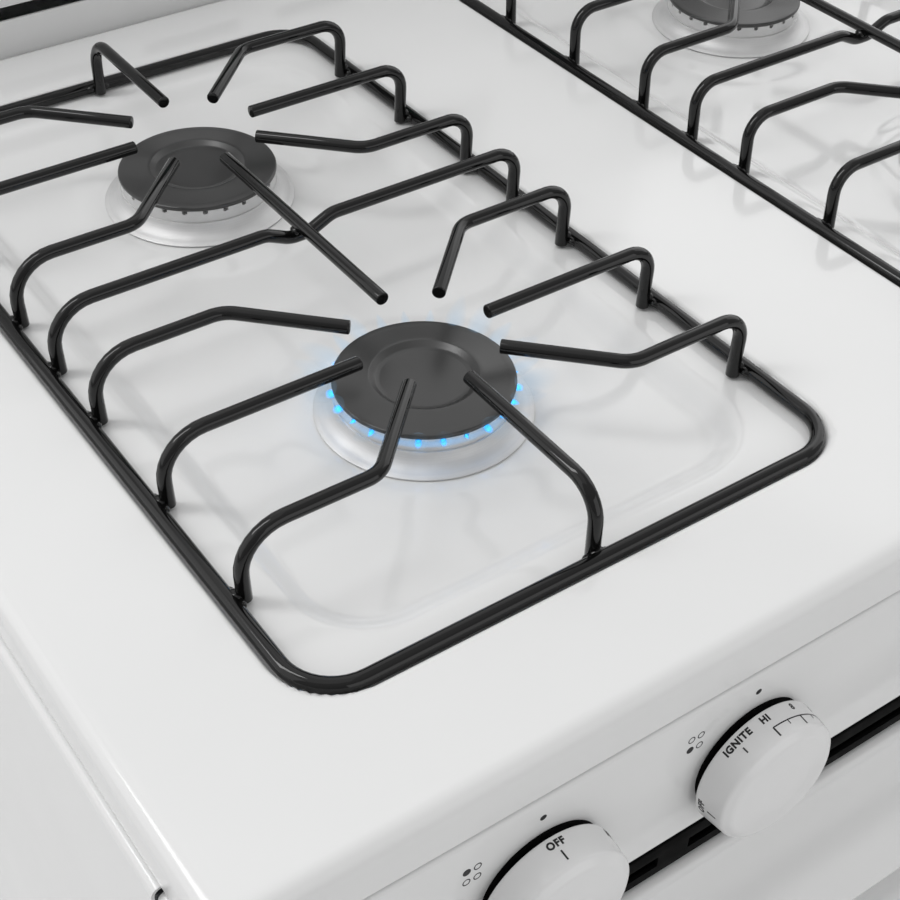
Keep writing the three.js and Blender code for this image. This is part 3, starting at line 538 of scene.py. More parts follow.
def text_part(words, height, weight=0.0, depth=0.04):
    """Flat letters of one line, centred on the origin in X and Y, standing up along +Z."""
    curve = bpy.data.curves.new("letters", "FONT")
    curve.body = words
    curve.align_x = "CENTER"
    curve.align_y = "CENTER"
    curve.size = height / 0.70
    curve.offset = weight
    curve.space_character = 1.14
    curve.extrude = depth
    curve.resolution_u = 3
    letters = linked("letters", curve)
    part = evaluated(letters)
    bpy.data.objects.remove(letters)
    bpy.data.curves.remove(curve)
    return part


def ease(value, start, end):
    """0 before start, 1 after end, smooth between."""
    f = np.clip((value - start) / (end - start), 0, 1)
    return f * f * (3 - 2 * f)


# ------------------------------------------------------------------ cooktop
# One sheet over a grid. Towards the rim the grid lines stand for rings that roll down into the skirt.
LEDGE_DEPTH = COOKTOP_TOP - (RAIL_Z - RAIL_R - 0.3)
WELL_DEPTH = 11.5
PAD_DEPTH = 9.0
WELL_MARGIN = 5.9                # top of the well's wall, outside the rails' centre lines
FLOOR_INSET = (24.5, 22.5)       # middle of the inner slope, inside the rails' centre lines
FLOOR_SLOPE = 15.0
WELL_CORNER = 30.0
PAD_RADII = (52.0, 70.0)
HOLE_R = 30.5
RIM_R = 7.0
CORNER_R = 12.0
SHEET = 1.2                      # thickness of the cooktop and the side panels
FOLDED = 1.4                     # thickness of the other enamelled sheets
SKIRT_FRONT, SKIRT_SIDES = 23.3, 21.4


def rounded_distance(x, y, half_x, half_y, corner):
    """Signed distance to a rounded rectangle, negative inside."""
    dx, dy = np.abs(x) - (half_x - corner), np.abs(y) - (half_y - corner)
    return np.hypot(np.maximum(dx, 0), np.maximum(dy, 0)) + np.minimum(np.maximum(dx, dy), 0) - corner


def cooktop_drop(x, y):
    drop = np.zeros_like(x)
    for side in (GRATE_X, -GRATE_X):
        well = rounded_distance(x - side, y - GRATE_Y, RAIL_HALF_X + WELL_MARGIN, RAIL_HALF_Y + WELL_MARGIN,
                                WELL_CORNER)
        floor = rounded_distance(x - side, y - GRATE_Y, RAIL_HALF_X - FLOOR_INSET[0],
                                 RAIL_HALF_Y - FLOOR_INSET[1], WELL_CORNER)
        drop = drop + LEDGE_DEPTH * (1 - ease(well, -3.4, 0.0))
        drop = drop + (WELL_DEPTH - LEDGE_DEPTH) * (1 - ease(floor, -FLOOR_SLOPE / 2, FLOOR_SLOPE / 2))
    for bx, by in BURNERS.values():
        r = np.hypot(x - bx, y - by)
        drop = drop - (WELL_DEPTH - PAD_DEPTH) * (1 - ease(r, *PAD_RADII))
    return drop


def grid_lines(half, centres, coarse, fine, reach):
    """Line positions from -half to half, close together within reach of the given places."""
    places, at = [], -half
    while at < half:
        places.append(at)
        near = any(abs(at - c) < reach for c in centres)
        at += fine if near else coarse
    places = np.array(places)
    return places * (half / places[-1]) if places[-1] > half - fine / 2 else np.append(places, half)


def make_cooktop():
    middle = (COOKTOP_LOW + COOKTOP_HIGH) / 2
    half = (COOKTOP_HIGH - COOKTOP_LOW) / 2
    core = half[:2] - CORNER_R
    xs = [s * GRATE_X + t * (RAIL_HALF_X + o) for s in (-1, 1) for t in (-1, 1) for o in (6, -FLOOR_INSET[0])]
    ys = [GRATE_Y - middle[1] + t * (RAIL_HALF_Y + o) for t in (-1, 1) for o in (6, -FLOOR_INSET[1])]
    # rim rings beyond the core: distance for direction, true distance, drop
    flat = CORNER_R - RIM_R
    rim = [(flat * i / 2, flat * i / 2, 0.0) for i in (1, 2)]
    for i in range(1, 8):
        a = math.pi / 2 * i / 7
        rim.append((flat + RIM_R * i / 7, flat + RIM_R * math.sin(a), RIM_R * (1 - math.cos(a))))
    for i, depth in enumerate((9.0, 14.0, 20.0, 24.0)):
        rim.append((CORNER_R + 1 + i, CORNER_R, depth))
    rim = np.array(rim)

    def axis_table(core_half, centres):
        inner = grid_lines(core_half, centres, 3.4, 1.25, 8.0)
        count = len(rim)
        place = np.concatenate([np.full(count, -core_half), inner, np.full(count, core_half)])
        sign = np.concatenate([-np.ones(count), np.zeros(len(inner)), np.ones(count)])
        ring = np.concatenate([np.arange(count)[::-1], -np.ones(len(inner)), np.arange(count)]).astype(int)
        return place, sign, ring

    px, sx, rx = axis_table(core[0], xs)
    py, sy, ry = axis_table(core[1], ys)
    table = np.vstack([rim, [0, 0, 0]])          # index -1 is the core: no offset
    PX, PY = np.meshgrid(px, py, indexing="ij")
    SX, SY = np.meshgrid(sx, sy, indexing="ij")
    RX, RY = np.meshgrid(rx, ry, indexing="ij")
    top = np.maximum(RX, RY)
    wx, wy = table[RX][..., 0], table[RY][..., 0]
    length = np.maximum(np.hypot(wx, wy), 1e-9)
    reach = table[top][..., 1]
    X = PX + SX * np.where((RX >= 0) & (RY >= 0), reach * wx / length, table[RX][..., 1])
    Y = PY + SY * np.where((RX >= 0) & (RY >= 0), reach * wy / length, table[RY][..., 1])
    X, Y = X + middle[0], Y + middle[1]
    skirt = table[top][..., 2]
    # only the front skirt comes down to the control panel: the others stop on the side panels
    limit = np.where(Y < node_box("left_side_panel")[0][1] - 8, SKIRT_FRONT, SKIRT_SIDES)
    Z = COOKTOP_TOP - np.minimum(skirt, limit) - cooktop_drop(X, Y)
    # grid points next to a burner hole move onto its edge
    keep = np.ones_like(X, bool)
    for bx, by in BURNERS.values():
        r = np.hypot(X - bx, Y - by)
        snap = np.abs(r - HOLE_R) < 2.0
        scale = np.where(snap, HOLE_R / np.maximum(r, 1e-6), 1)
        X, Y = bx + (X - bx) * scale, by + (Y - by) * scale
        keep &= ~((r < HOLE_R) & ~snap)
    nx, ny = X.shape
    verts = np.stack([X, Y, Z], -1).reshape(-1, 3)
    index = np.arange(nx * ny).reshape(nx, ny)
    faces = []
    for i in range(nx - 1):
        for j in range(ny - 1):
            corners = ((i, j), (i + 1, j), (i + 1, j + 1), (i, j + 1))
            if all(keep[c] for c in corners):
                faces.append([index[c] for c in corners])
    used = sorted({v for f in faces for v in f})
    renumber = {v: k for k, v in enumerate(used)}
    part = [tuple(verts[v]) for v in used], [tuple(renumber[v] for v in f) for f in faces]
    return thicken(part, SHEET)


mesh_piece("cooktop_sheet", *make_cooktop(), "white_enamel", stands_for=["cooktop"], sharp=50)

# ------------------------------------------------------------------ burners
HEAD_BASE = node_box("burner_head_left_front")[0][2]
CAP_LOW, CAP_HIGH = node_box("burner_cap_left_front")
FLANGE_Z = COOKTOP_TOP - PAD_DEPTH + 0.3
PORTS = 24
PORT_WIDTHS = (0.05, 0.08, 0.10, 0.11, 0.11)      # half widths going up, as parts of the port spacing
PORT_DEPTH = 2.6
FLANGE_R = node_radius("burner_head_left_front")
CAP_R = node_radius("burner_cap_left_front")
HEAD_R = 38.2


def make_head():
    f = FLANGE_Z
    seat = CAP_LOW[2] + 4.2
    rows = [(0, HEAD_BASE), (26, HEAD_BASE), (29, HEAD_BASE + 6), (29.4, f), (FLANGE_R - 0.5, f),
            (FLANGE_R, f + 0.35), (FLANGE_R, f + 0.7)]
    rows += smooth_profile([(FLANGE_R - 0.35, f + 0.95), (FLANGE_R - 5.0, f + 2.3), (HEAD_R + 0.8, f + 6.0),
                            (HEAD_R + 0.5, f + 8.0)], (8, 8), 6)
    rows += [(HEAD_R - 0.3, f + 8.2), (HEAD_R - 0.3, f + 8.7), (HEAD_R, f + 8.9), (HEAD_R, seat - 1.9)]
    first = len(rows)
    rows += [(HEAD_R, seat - lift) for lift in (1.6, 1.35, 1.0, 0.5, 0.0)]
    rows += [(34, seat), (33, seat - 6), (22, f + 2), (12, f + 1), (0, f + 1)]

    def shape(index, angle, r):
        row = index - first
        if 0 <= row < len(PORT_WIDTHS):
            phase = (angle * PORTS / (2 * math.pi)) % 1.0
            return r - PORT_DEPTH if abs(phase - 0.5) < PORT_WIDTHS[row] else r
        return r

    return lathe(rows, PORTS * 16, shape)


def make_cap():
    low, top = CAP_LOW[2] + 4.5, CAP_HIGH[2]
    rows = [(0, low - 1), (24, low - 1), (24, low - 4), (29, low - 4), (29.5, low)]
    rows += smooth_profile([(CAP_R - 1.8, low), (CAP_R, low), (CAP_R, low + 2.1), (CAP_R - 4, low + 2.35),
                            (25.5, top - 0.15)], (0.7, 0.9, 30), 5)
    dish = [(24.6, top - 0.03), (23.4, top), (20.6, top - 1.9), (18.8, top - 2.15), (0, top - 2.0)]
    rows += smooth_profile(dish, (1.2, 2.0, 2.0), 5)
    return lathe(rows, 160)


IGNITER_R, IGNITER_ANGLE = 43.6, 55     # its place on the burner's flange, in degrees from +X


def make_igniter():
    post = lathe([(0, 0), (3.0, 0), (3.2, 0.5), (3.2, 8.2), (2.6, 9.0), (1.5, 9.3), (0, 9.3)], 28)
    wire = tube(smooth_profile([(0, 0, 8), (0, 0, 10.2), (-2.6, 0, 10.5)], (1.0,), 4), 0.55, 10)
    return post, wire


for name, (bx, by) in BURNERS.items():
    at = (bx, by, 0)
    mesh_piece(f"burner_head_{name}_turned", *make_head(), "burner_aluminium", at=at,
               stands_for=[f"burner_head_{name}"], sharp=30)
    mesh_piece(f"burner_cap_{name}_pressed", *make_cap(), "cap_enamel", body=f"{name}_cap", at=at,
               stands_for=[f"burner_cap_{name}"], sharp=40)
    post, wire = make_igniter()
    aim = math.radians(IGNITER_ANGLE)
    place = (bx + IGNITER_R * math.cos(aim), by + IGNITER_R * math.sin(aim), FLANGE_Z + 1.6)
    turn = rotation(IGNITER_ANGLE, "Z")
    mesh_piece(f"igniter_post_{name}", *moved(post, turn=turn), "ceramic", at=place)
    mesh_piece(f"igniter_wire_{name}", *moved(wire, turn=turn), "screw_steel", at=place)

# ------------------------------------------------------------------ grates
LEG_INSET = 5.0                  # from a rail's centre line to the legs
SPREAD = 60.4                    # from a burner's centre to its bent fingers' straight runs
TIP_R = 31.4                     # circle of the fingertips
FOOT_Z = RAIL_Z - RAIL_R + 1.0
LEG_BEND = {"left": 19.0, "right": 12.0, "end": 15.0}
FINGER_BEND = 14.0


def weld(x, y, along):
    """Weld beads where a leg meets its rail; `along` is the rail's direction."""
    along = np.array([*along, 0.0])
    spots = [(-3.6, 0.4, 2.3), (3.7, -0.2, 2.1), (0.3, 1.2, 2.6)]
    return [bead(np.array([x, y, RAIL_Z]) + along * shift + (0, 0, lift),
                 (r + abs(along[0]), r + abs(along[1]), r * 0.8)) for shift, lift, r in spots]


def make_grate():
    parts = []
    rail = smooth_profile([(0, -RAIL_HALF_Y, RAIL_Z), (RAIL_HALF_X, -RAIL_HALF_Y, RAIL_Z),
                           (RAIL_HALF_X, RAIL_HALF_Y, RAIL_Z), (-RAIL_HALF_X, RAIL_HALF_Y, RAIL_Z),
                           (-RAIL_HALF_X, -RAIL_HALF_Y, RAIL_Z), (0, -RAIL_HALF_Y, RAIL_Z)], (22,) * 4, 10)
    parts.append(tube(rail[:-1], RAIL_R, 20, closed=True))
    leg_x = RAIL_HALF_X - LEG_INSET

    def leg(sx, y):
        lean = 1.2 * sx
        return [(sx * leg_x - lean, y, FOOT_Z), (sx * leg_x, y, FINGER_Z)]

    for sy in (-1, 1):
        by = sy * BURNER_REACH
        for sx, side in ((-1, "left"), (1, "right")):
            bend = LEG_BEND[side]
            run = leg(sx, by) + [(sx * TIP_R, by, FINGER_Z)]
            parts.append(tube(smooth_profile(run, (bend,), 8), FINGER_R))
            parts += weld(sx * (leg_x + 2.5), by, (0, 1))
            for way in (-1, 1):
                y, tip = by + way * SPREAD, TIP_R * math.sqrt(0.5)
                run = leg(sx, y) + [(sx * SPREAD, y, FINGER_Z), (sx * tip, by + way * tip, FINGER_Z)]
                parts.append(tube(smooth_profile(run, (bend, FINGER_BEND), 8), FINGER_R))
                parts += weld(sx * (leg_x + 2.5), y, (0, 1))
        foot_y = sy * (RAIL_HALF_Y - LEG_INSET)
        run = [(0, foot_y, FOOT_Z), (0, foot_y, FINGER_Z), (0, by + sy * TIP_R, FINGER_Z)]
        parts.append(tube(smooth_profile(run, (LEG_BEND["end"],), 8), FINGER_R))
        parts += weld(0, sy * (RAIL_HALF_Y - 2.5), (1, 0))
    dip = 2 * FINGER_R - 0.5
    cross = leg(-1, 0) + [(-17, 0, FINGER_Z), (-5, 0, FINGER_Z - dip), (5, 0, FINGER_Z - dip),
                          (17, 0, FINGER_Z)] + leg(1, 0)[::-1]
    bends = (LEG_BEND["left"], 14, 14, 14, 14, LEG_BEND["right"])
    parts.append(tube(smooth_profile(cross, bends, 8), FINGER_R))
    for sx in (-1, 1):
        parts += weld(sx * (leg_x + 2.5), 0, (0, 1))
    reach = BURNER_REACH - TIP_R
    parts.append(tube([(0, y, FINGER_Z) for y in np.linspace(-reach, reach, 9)], FINGER_R))
    parts += [bead((s, 0, FINGER_Z - dip / 2), (1.6, 3.0, 2.0)) for s in (-2.6, 2.6)]
    return merged(*parts)


grate = make_grate()
mesh_piece("grate_left_rods", *grate, "grate_enamel", body="left_grate", at=(GRATE_X, GRATE_Y, 0),
           stands_for=["grate_left"], sharp=60)
mesh_piece("grate_right_rods", *moved(grate, turn=rotation(180, "Z")), "grate_enamel", body="right_grate",
           at=(-GRATE_X, GRATE_Y, 0), stands_for=["grate_right"], sharp=60)

# ------------------------------------------------------------------ control panel and knobs
KNOB_R = node_radius("knob_oven")
KNOB_BACK = node_box("knob_oven")[1][1]
KNOB_DEPTH = KNOB_BACK - node_box("knob_oven")[0][1]
FULL_TURN = JOINTS["oven_knob_turn"]["range_deg"][1]
LIT_TURN = -JOINTS[f"{LIT_BURNER}_knob_turn"]["range_deg"][0]
SKIRT = ((0.0, KNOB_R), (12.5, KNOB_R - 1.1))      # depth and radius at both ends of the printed band


def make_panel():
    sheet = front_sheet(PANEL_LOW, PANEL_HIGH, 3.0)
    holes = [rod((k[0], PANEL_FRONT - 2, k[2]), (k[0], PANEL_FRONT + 6, k[2]), 7) for k in KNOBS.values()]
    return carved(sheet, *holes)


mesh_piece("control_panel_sheet", *make_panel(), "white_enamel", stands_for=["control_panel"])


def skirt_radius(depth):
    (d0, r0), (d1, r1) = SKIRT
    return r0 + (r1 - r0) * (depth - d0) / (d1 - d0)


def knob_profile():
    rows = [(0, 1.6), (20, 1.6), (20, 0.3), (KNOB_R - 0.9, 0.0), (KNOB_R - 0.3, 0.25), (KNOB_R, 0.9)]
    rows += smooth_profile([(skirt_radius(1.6), 1.6), (skirt_radius(13.6), 13.6), (KNOB_R - 4.6, 16.2),
                            (12, KNOB_DEPTH - 0.4), (0.01, KNOB_DEPTH)], (2.2, 5.0, 30.0), 8)
    rows[-1] = (0, KNOB_DEPTH)
    return rows


def wrap(part, angle_deg, depth):
    """Lays flat letters on the skirt: X runs clockwise seen from the front, Y towards the panel."""
    out = []
    for x, y, z in part[0]:
        d = depth - y
        r = skirt_radius(d) + 0.02 + z
        a = math.radians(angle_deg) + x / skirt_radius(depth)
        out.append((r * math.sin(a), -d, r * math.cos(a)))
    return out, part[1]


def arc_band(start_deg, end_deg, depth, width):
    """Thin printed line round the skirt."""
    count = max(2, int((end_deg - start_deg) / 3))
    verts, faces = [], []
    span = math.radians(end_deg - start_deg) * skirt_radius(depth)
    for i in range(count + 1):
        x = span * (i / count - 0.5)
        for y in (-width / 2, width / 2):
            for z in (0.0, 0.06):
                verts.append((x, y, z))
    for i in range(count):
        a, b = i * 4, i * 4 + 4
        faces += [(a, a + 1, b + 1, b), (a + 1, a + 3, b + 3, b + 1), (a + 3, a + 2, b + 2, b + 3),
                  (a + 2, a, b, b + 2)]
    faces += [(0, 2, 3, 1), (count * 4, count * 4 + 1, count * 4 + 3, count * 4 + 2)]
    return wrap((verts, faces), (start_deg + end_deg) / 2, depth)


def bar(x, y, width, height, depth=0.05):
    """Flat printed bar, in the same space as text_part's letters."""
    verts = [(x + sx * width / 2, y + sy * height / 2, z) for z in (0, depth) for sx, sy in
             ((-1, -1), (1, -1), (1, 1), (-1, 1))]
    return verts, [(3, 2, 1, 0), (4, 5, 6, 7), (0, 1, 5, 4), (1, 2, 6, 5), (2, 3, 7, 6), (3, 0, 4, 7)]


LEGEND_DEPTH = 3.5
SCALE_DEPTH = 8.0
LONG_TICK, SHORT_TICK = 4.2, 2.0
IGNITE_BEFORE = 27.5             # degrees from the ignition mark to HI
LIT_PAST_MARK = 5.0              # the lit burner's knob is turned a little past HI
BEZEL_AND_SHADE_R = 26.8
BEZEL_SHADE_SHIFT = (0.5, 0.7)         # the black bezel sits a little off the knob's axis, in X and Z, so that its crescent also serves as the knob's painted shadow on the panel
DOT_PLACE = (-0.5, 36.5)         # the panel's dot, from the knob's centre in X and Z
PLAN_PLACE = (-30.5, 27.4)       # the small plan of four burners, likewise
PLAN_HALF = (2.3, 2.9)
PLAN_R = 1.7
PRINT = 0.06                     # thickness of a printed mark


def tick(angle, length, start=SCALE_DEPTH, width=0.7):
    return wrap(bar(0, -length / 2, width, length), angle, start)


def knob_marks(oven):
    """Legends in the order they pass the dot as the knob opens."""
    if oven:
        steps = ["WARM", "200", "250", "300", "350", "400", "450", "BROIL"]
        begin, size = 38.0, 2.3
    else:
        steps = ["HI", "8", "6", "4", "3", "2", "LO"]
        begin, size = LIT_TURN, 2.75
    parts = [wrap(text_part("OFF", 2.75, 0.19), 0, LEGEND_DEPTH), tick(0, LONG_TICK, 6.5, 0.7)]
    if not oven:
        parts += [wrap(text_part("IGNITE", 2.75, 0.19), begin - IGNITE_BEFORE, LEGEND_DEPTH),
                  tick(begin - IGNITE_BEFORE, 2.6, 6.5, 0.6)]
    pitch = (FULL_TURN - begin) / (len(steps) - 1)
    for i, word in enumerate(steps):
        angle = begin + i * pitch
        parts += [wrap(text_part(word, size, 0.19 if word.isalpha() else 0.12), angle, LEGEND_DEPTH),
                  tick(angle, LONG_TICK)]
        if i < len(steps) - 1:
            parts.append(tick(angle + pitch / 2, SHORT_TICK, width=0.42))
    parts.append(arc_band(begin, FULL_TURN, SCALE_DEPTH, 0.5))
    return merged(*parts)


def ring_mark(x, z, r, filled):
    """Small printed circle on the panel's face, filled or open."""
    inner = 0 if filled else r - 0.45
    rows = [(inner, 0), (r, 0), (r, PRINT), (inner, PRINT)]
    return facing_front(lathe(rows, 28), (x, PANEL_FRONT - 0.01, z))


for name, centre in KNOBS.items():
    x, _, z = centre
    turn = LIT_TURN + LIT_PAST_MARK if name == LIT_BURNER else 0.0
    body = facing_front(lathe(knob_profile(), 96))
    mesh_piece(f"knob_{name}_moulding", *body, "knob_plastic", body=f"{name}_knob", at=(x, KNOB_BACK, z),
               stands_for=[f"knob_{name}"], sharp=50)
    # positive turns of the joint are anticlockwise seen from the front, so marks start `turn` to the left
    marks = moved(knob_marks(name == "oven"), turn=rotation(-turn, "Y"))
    mesh_piece(f"knob_{name}_marks", *marks, "print_black", body=f"{name}_knob", at=(x, KNOB_BACK, z))
    # A real black bezel ring behind the knob. Its size and offset are set so that it also stands in as painted
    # shade in the gap between the knob and the panel.
    bezel = lathe([(9, 0), (BEZEL_AND_SHADE_R, 0), (BEZEL_AND_SHADE_R, 0.3), (BEZEL_AND_SHADE_R - 0.3, 0.5), (9, 0.5)], 96)
    mesh_piece(f"knob_bezel_and_shade_{name}", *facing_front(bezel), "black_plastic",
               at=(x + BEZEL_SHADE_SHIFT[0], PANEL_FRONT, z + BEZEL_SHADE_SHIFT[1]), slot="black_plastic")
    dot = facing_front(lathe([(0, 0), (1, 0), (1, PRINT), (0, PRINT)], 24))
    dot = np.array(dot[0]) * (1.45, 1, 1.3) @ rotation(14, "Y"), dot[1]
    marks = [moved(dot, (x + DOT_PLACE[0], PANEL_FRONT - 0.01, z + DOT_PLACE[1]))]
    if name != "oven":
        for sx, side in ((-1, "left"), (1, "right")):
            for sz, row in ((-1, "front"), (1, "rear")):
                marks.append(ring_mark(x + PLAN_PLACE[0] + sx * PLAN_HALF[0],
                                       z + PLAN_PLACE[1] + sz * PLAN_HALF[1], PLAN_R,
                                       f"{side}_{row}" == name))
    mesh_piece(f"panel_marks_{name}", *merged(*marks), "print_black")


def slots(count, pitch, half_width, front, low_z, high_z):
    """Shapes that cut a row of slots through a front sheet."""
    places = (np.arange(count) - (count - 1) / 2) * pitch
    return [block((x - half_width, front - 5, low_z), (x + half_width, front + 6, high_z), 0)
            for x in places]


def make_vent():
    low, high = node_box("vent_trim")
    sheet = block(low, high, 0.6, 2, open_side=(0, 1, 0), wall=1.6)
    return carved(sheet, *slots(9, 72.0, 28, low[1], low[2] + 5.5, low[2] + 11.5))


mesh_piece("vent_trim_moulding", *make_vent(), "black_plastic", stands_for=["vent_trim"])

# ------------------------------------------------------------------ casing


def strip(profile, low, high, wall):
    """Folded sheet: an (x, z) outline carried along Y from low to high."""
    verts = [(x, y, z) for x, z in profile for y in (low, high)]
    faces = [(i * 2, i * 2 + 1, i * 2 + 3, i * 2 + 2) for i in range(len(profile) - 1)]
    return through_modifier((verts, faces), "SOLIDIFY", thickness=wall, offset=0, use_even_offset=True)


for side, sign in (("left", -1), ("right", 1)):
    low, high = node_box(f"{side}_side_panel")
    outer = max(abs(low[0]), abs(high[0])) - 0.6
    rows = smooth_profile([(sign * (outer - 15), high[2] - 0.6), (sign * outer, high[2] - 0.6),
                           (sign * outer, low[2] + 0.6), (sign * (outer - 14), low[2] + 0.6)], (3.4, 2.0), 6)
    mesh_piece(f"{side}_side_sheet", *strip(rows, low[1], high[1], SHEET), "white_enamel",
               stands_for=[f"{side}_side_panel"], sharp=60)


def make_foot():
    pad = [(0, 0), (16.5, 0), (18.4, 0.8), (19, 2.4), (19, 7.2), (17.6, 9.4), (12.6, 11.8), (10.4, 14.2),
           (10.4, 60), (5, 60), (5, 74), (0, 74)]
    return lathe(pad, 60, lambda i, a, r: r - 0.5 if 3 <= i <= 4 and (a * 20 / math.pi) % 1 < 0.35 else r)


for row in ("front", "rear"):
    for side in ("left", "right"):
        node = f"foot_{row}_{side}"
        centre = node_centre(node)
        mesh_piece(f"{node}_moulding", *make_foot(), "black_plastic", at=(centre[0], centre[1], 0),
                   stands_for=[node])

# ------------------------------------------------------------------ door
DOOR_LOW, DOOR_HIGH = node_box("door_outer_panel")
GLASS_LOW, GLASS_HIGH = node_box("door_glass")
WINDOW_MARGIN = 14.0
WINDOW_LOW, WINDOW_HIGH = GLASS_LOW + WINDOW_MARGIN, GLASS_HIGH - WINDOW_MARGIN


def make_door():
    sheet = front_sheet(DOOR_LOW, DOOR_HIGH, 5.0)
    hole = rounded_plate((WINDOW_LOW[0], DOOR_LOW[1] - 5, WINDOW_LOW[2]),
                         (WINDOW_HIGH[0], DOOR_LOW[1] + 6, WINDOW_HIGH[2]), 14)
    notches = []
    for side in ("left", "right"):
        low, high = node_box(f"door_hinge_{side}")
        middle = (low[0] + high[0]) / 2
        notches.append(block((middle - 10, DOOR_LOW[1] + 4, DOOR_LOW[2] - 4),
                             (middle + 10, DOOR_HIGH[1] + 4, DOOR_LOW[2] + 3), 0))
    return carved(sheet, hole, *notches)


def rounded_plate(low, high, radius, steps=8):
    """Plate facing -Y with rounded corners."""
    (x0, y0, z0), (x1, y1, z1) = low, high
    outline = []
    for cx, cz, begin in ((x1 - radius, z1 - radius, 0), (x0 + radius, z1 - radius, 90),
                          (x0 + radius, z0 + radius, 180), (x1 - radius, z0 + radius, 270)):
        for s in range(steps + 1):
            a = math.radians(begin + 90 * s / steps)
            outline.append((cx + radius * math.cos(a), cz + radius * math.sin(a)))
    count = len(outline)
    verts = [(x, y, z) for y in (y0, y1) for x, z in outline]
    faces = [tuple(range(count))[::-1], tuple(range(count, 2 * count))]
    faces += [(i, (i + 1) % count, count + (i + 1) % count, count + i) for i in range(count)]
    return verts, faces


mesh_piece("door_outer_sheet", *make_door(), "white_enamel", body="oven_door",
           stands_for=["door_outer_panel"])
M["door_window"] = window_glass("door_window", WINDOW_HIGH[0], WINDOW_LOW[2], WINDOW_HIGH[2],
                                (0.10, 0.11, 0.12))
mesh_piece("door_window_pane", *rounded_plate(GLASS_LOW, GLASS_HIGH, 10), "door_window",
           body="oven_door", slot="black_glass", stands_for=["door_glass"])

HANDLE_LOW, HANDLE_HIGH = node_box("door_handle")
HANDLE_Z = (HANDLE_LOW[2] + HANDLE_HIGH[2]) / 2
HANDLE_HALF = HANDLE_HIGH[0] - 12


def make_handle():
    bar_y = HANDLE_LOW[1] + 12
    half, z = HANDLE_HALF, HANDLE_Z
    run = smooth_profile([(-half, HANDLE_HIGH[1] - 1, z), (-half, bar_y, z), (half, bar_y, z),
                          (half, HANDLE_HIGH[1] - 1, z)], (24, 24), 12)
    return tube(run, 11.6, 28, squash=0.82, tip=0.1)


mesh_piece("door_handle_bar", *make_handle(), "knob_plastic", body="oven_door", stands_for=["door_handle"])
for side, sx in (("left", -1), ("right", 1)):
    foot = facing_front(lathe([(0, 0), (14.5, 0), (15, 0.6), (15, 2.0), (13.4, 3.4), (0, 3.6)], 48))
    mesh_piece(f"door_handle_foot_{side}", *foot, "knob_plastic", body="oven_door",
               at=(sx * HANDLE_HALF, DOOR_LOW[1] - 0.1, HANDLE_Z))

# ------------------------------------------------------------------ drawer
DRAWER_LOW, DRAWER_HIGH = node_box("drawer_front")
GRIP_HALF, GRIP_HEIGHT = 150.0, 14.0


def grip_block(grow, front, back, rise, radius, **folded):
    """Block the size of the drawer's grip, grown on all sides. Front and back are from its front face."""
    low = (-GRIP_HALF - grow, DRAWER_LOW[1] + front, DRAWER_HIGH[2] - GRIP_HEIGHT - grow)
    return block(low, (GRIP_HALF + grow, DRAWER_LOW[1] + back, DRAWER_HIGH[2] + rise), radius, 3, **folded)


def make_drawer_front():
    sheet = front_sheet(DRAWER_LOW, DRAWER_HIGH, 5.0)
    return carved(sheet, grip_block(0, -4, 14, 4, 3))


mesh_piece("drawer_front_sheet", *make_drawer_front(), "white_enamel", body="storage_drawer",
           stands_for=["drawer_front"])
scoop = grip_block(1.4, 1.6, 15.4, -0.4, 2.6, open_side=(0, 0, 1), wall=1.2)
scoop = carved(scoop, block((-149, DRAWER_LOW[1] - 4, DRAWER_HIGH[2] - 13.4),
                            (149, DRAWER_LOW[1] + 6, DRAWER_HIGH[2] + 4), 0))
mesh_piece("drawer_grip_scoop", *scoop, "white_enamel", body="storage_drawer")

# ------------------------------------------------------------------ backguard
GUARD_LOW, GUARD_HIGH = node_box("backguard")


def make_backguard():
    y0, y1, z0, z1 = GUARD_LOW[1], GUARD_HIGH[1], GUARD_LOW[2], GUARD_HIGH[2]
    corners = [(y1, z0), (y0, z0), (y0, z1 - 184), (y0 + 25, z1 - 21), (y0 + 39, z1), (y1, z1)]
    outline = smooth_profile(corners, (0, 30, 16, 14), 6)
    half = GUARD_HIGH[0]
    bm = bmesh.new()
    left = [bm.verts.new((-half, y, z)) for y, z in outline]
    right = [bm.verts.new((half, y, z)) for y, z in outline]
    count = len(outline)
    for i in range(count - 1):
        bm.faces.new((left[i], left[i + 1], right[i + 1], right[i]))
    caps = [bm.faces.new(left[::-1]), bm.faces.new(right)]
    rim = [e for cap in caps for e in cap.edges if len(e.link_faces) == 2]
    bmesh.ops.recalc_face_normals(bm, faces=bm.faces)
    bmesh.ops.bevel(bm, geom=rim, offset=4.0, segments=5, profile=0.5, affect="EDGES", clamp_overlap=True)
    return carved(thicken(from_bmesh(bm), FOLDED), *slots(5, 90.0, 32, y0, 932, 940))


mesh_piece("backguard_sheet", *make_backguard(), "white_enamel", stands_for=["backguard"], sharp=40)

# ------------------------------------------------------------------ clock on the backguard
CLOCK_LEAN = math.degrees(math.atan2(27, 170))
CLOCK_CENTRE = node_centre("clock_panel")
SEGMENTS = {"0": "abcdef", "1": "bc", "2": "abged"}
SEGMENT_PLACES = {"a": (0, 1, 0), "g": (0, 0, 0), "d": (0, -1, 0), "b": (0.5, 0.5, 1), "c": (0.5, -0.5, 1),
                  "e": (-0.5, -0.5, 1), "f": (-0.5, 0.5, 1)}


def digit(number, x, height=13.0, stroke=1.5):
    """Seven-segment figure, leaning a little."""
    span = height / 2
    parts = []
    for segment in SEGMENTS[number]:
        sx, sy, stands = SEGMENT_PLACES[segment]
        size = (stroke, span - 1.2) if stands else (span - 1.2, stroke)
        parts.append(bar(x + sx * span + sy * span * 0.12, sy * span, *size))
    return parts


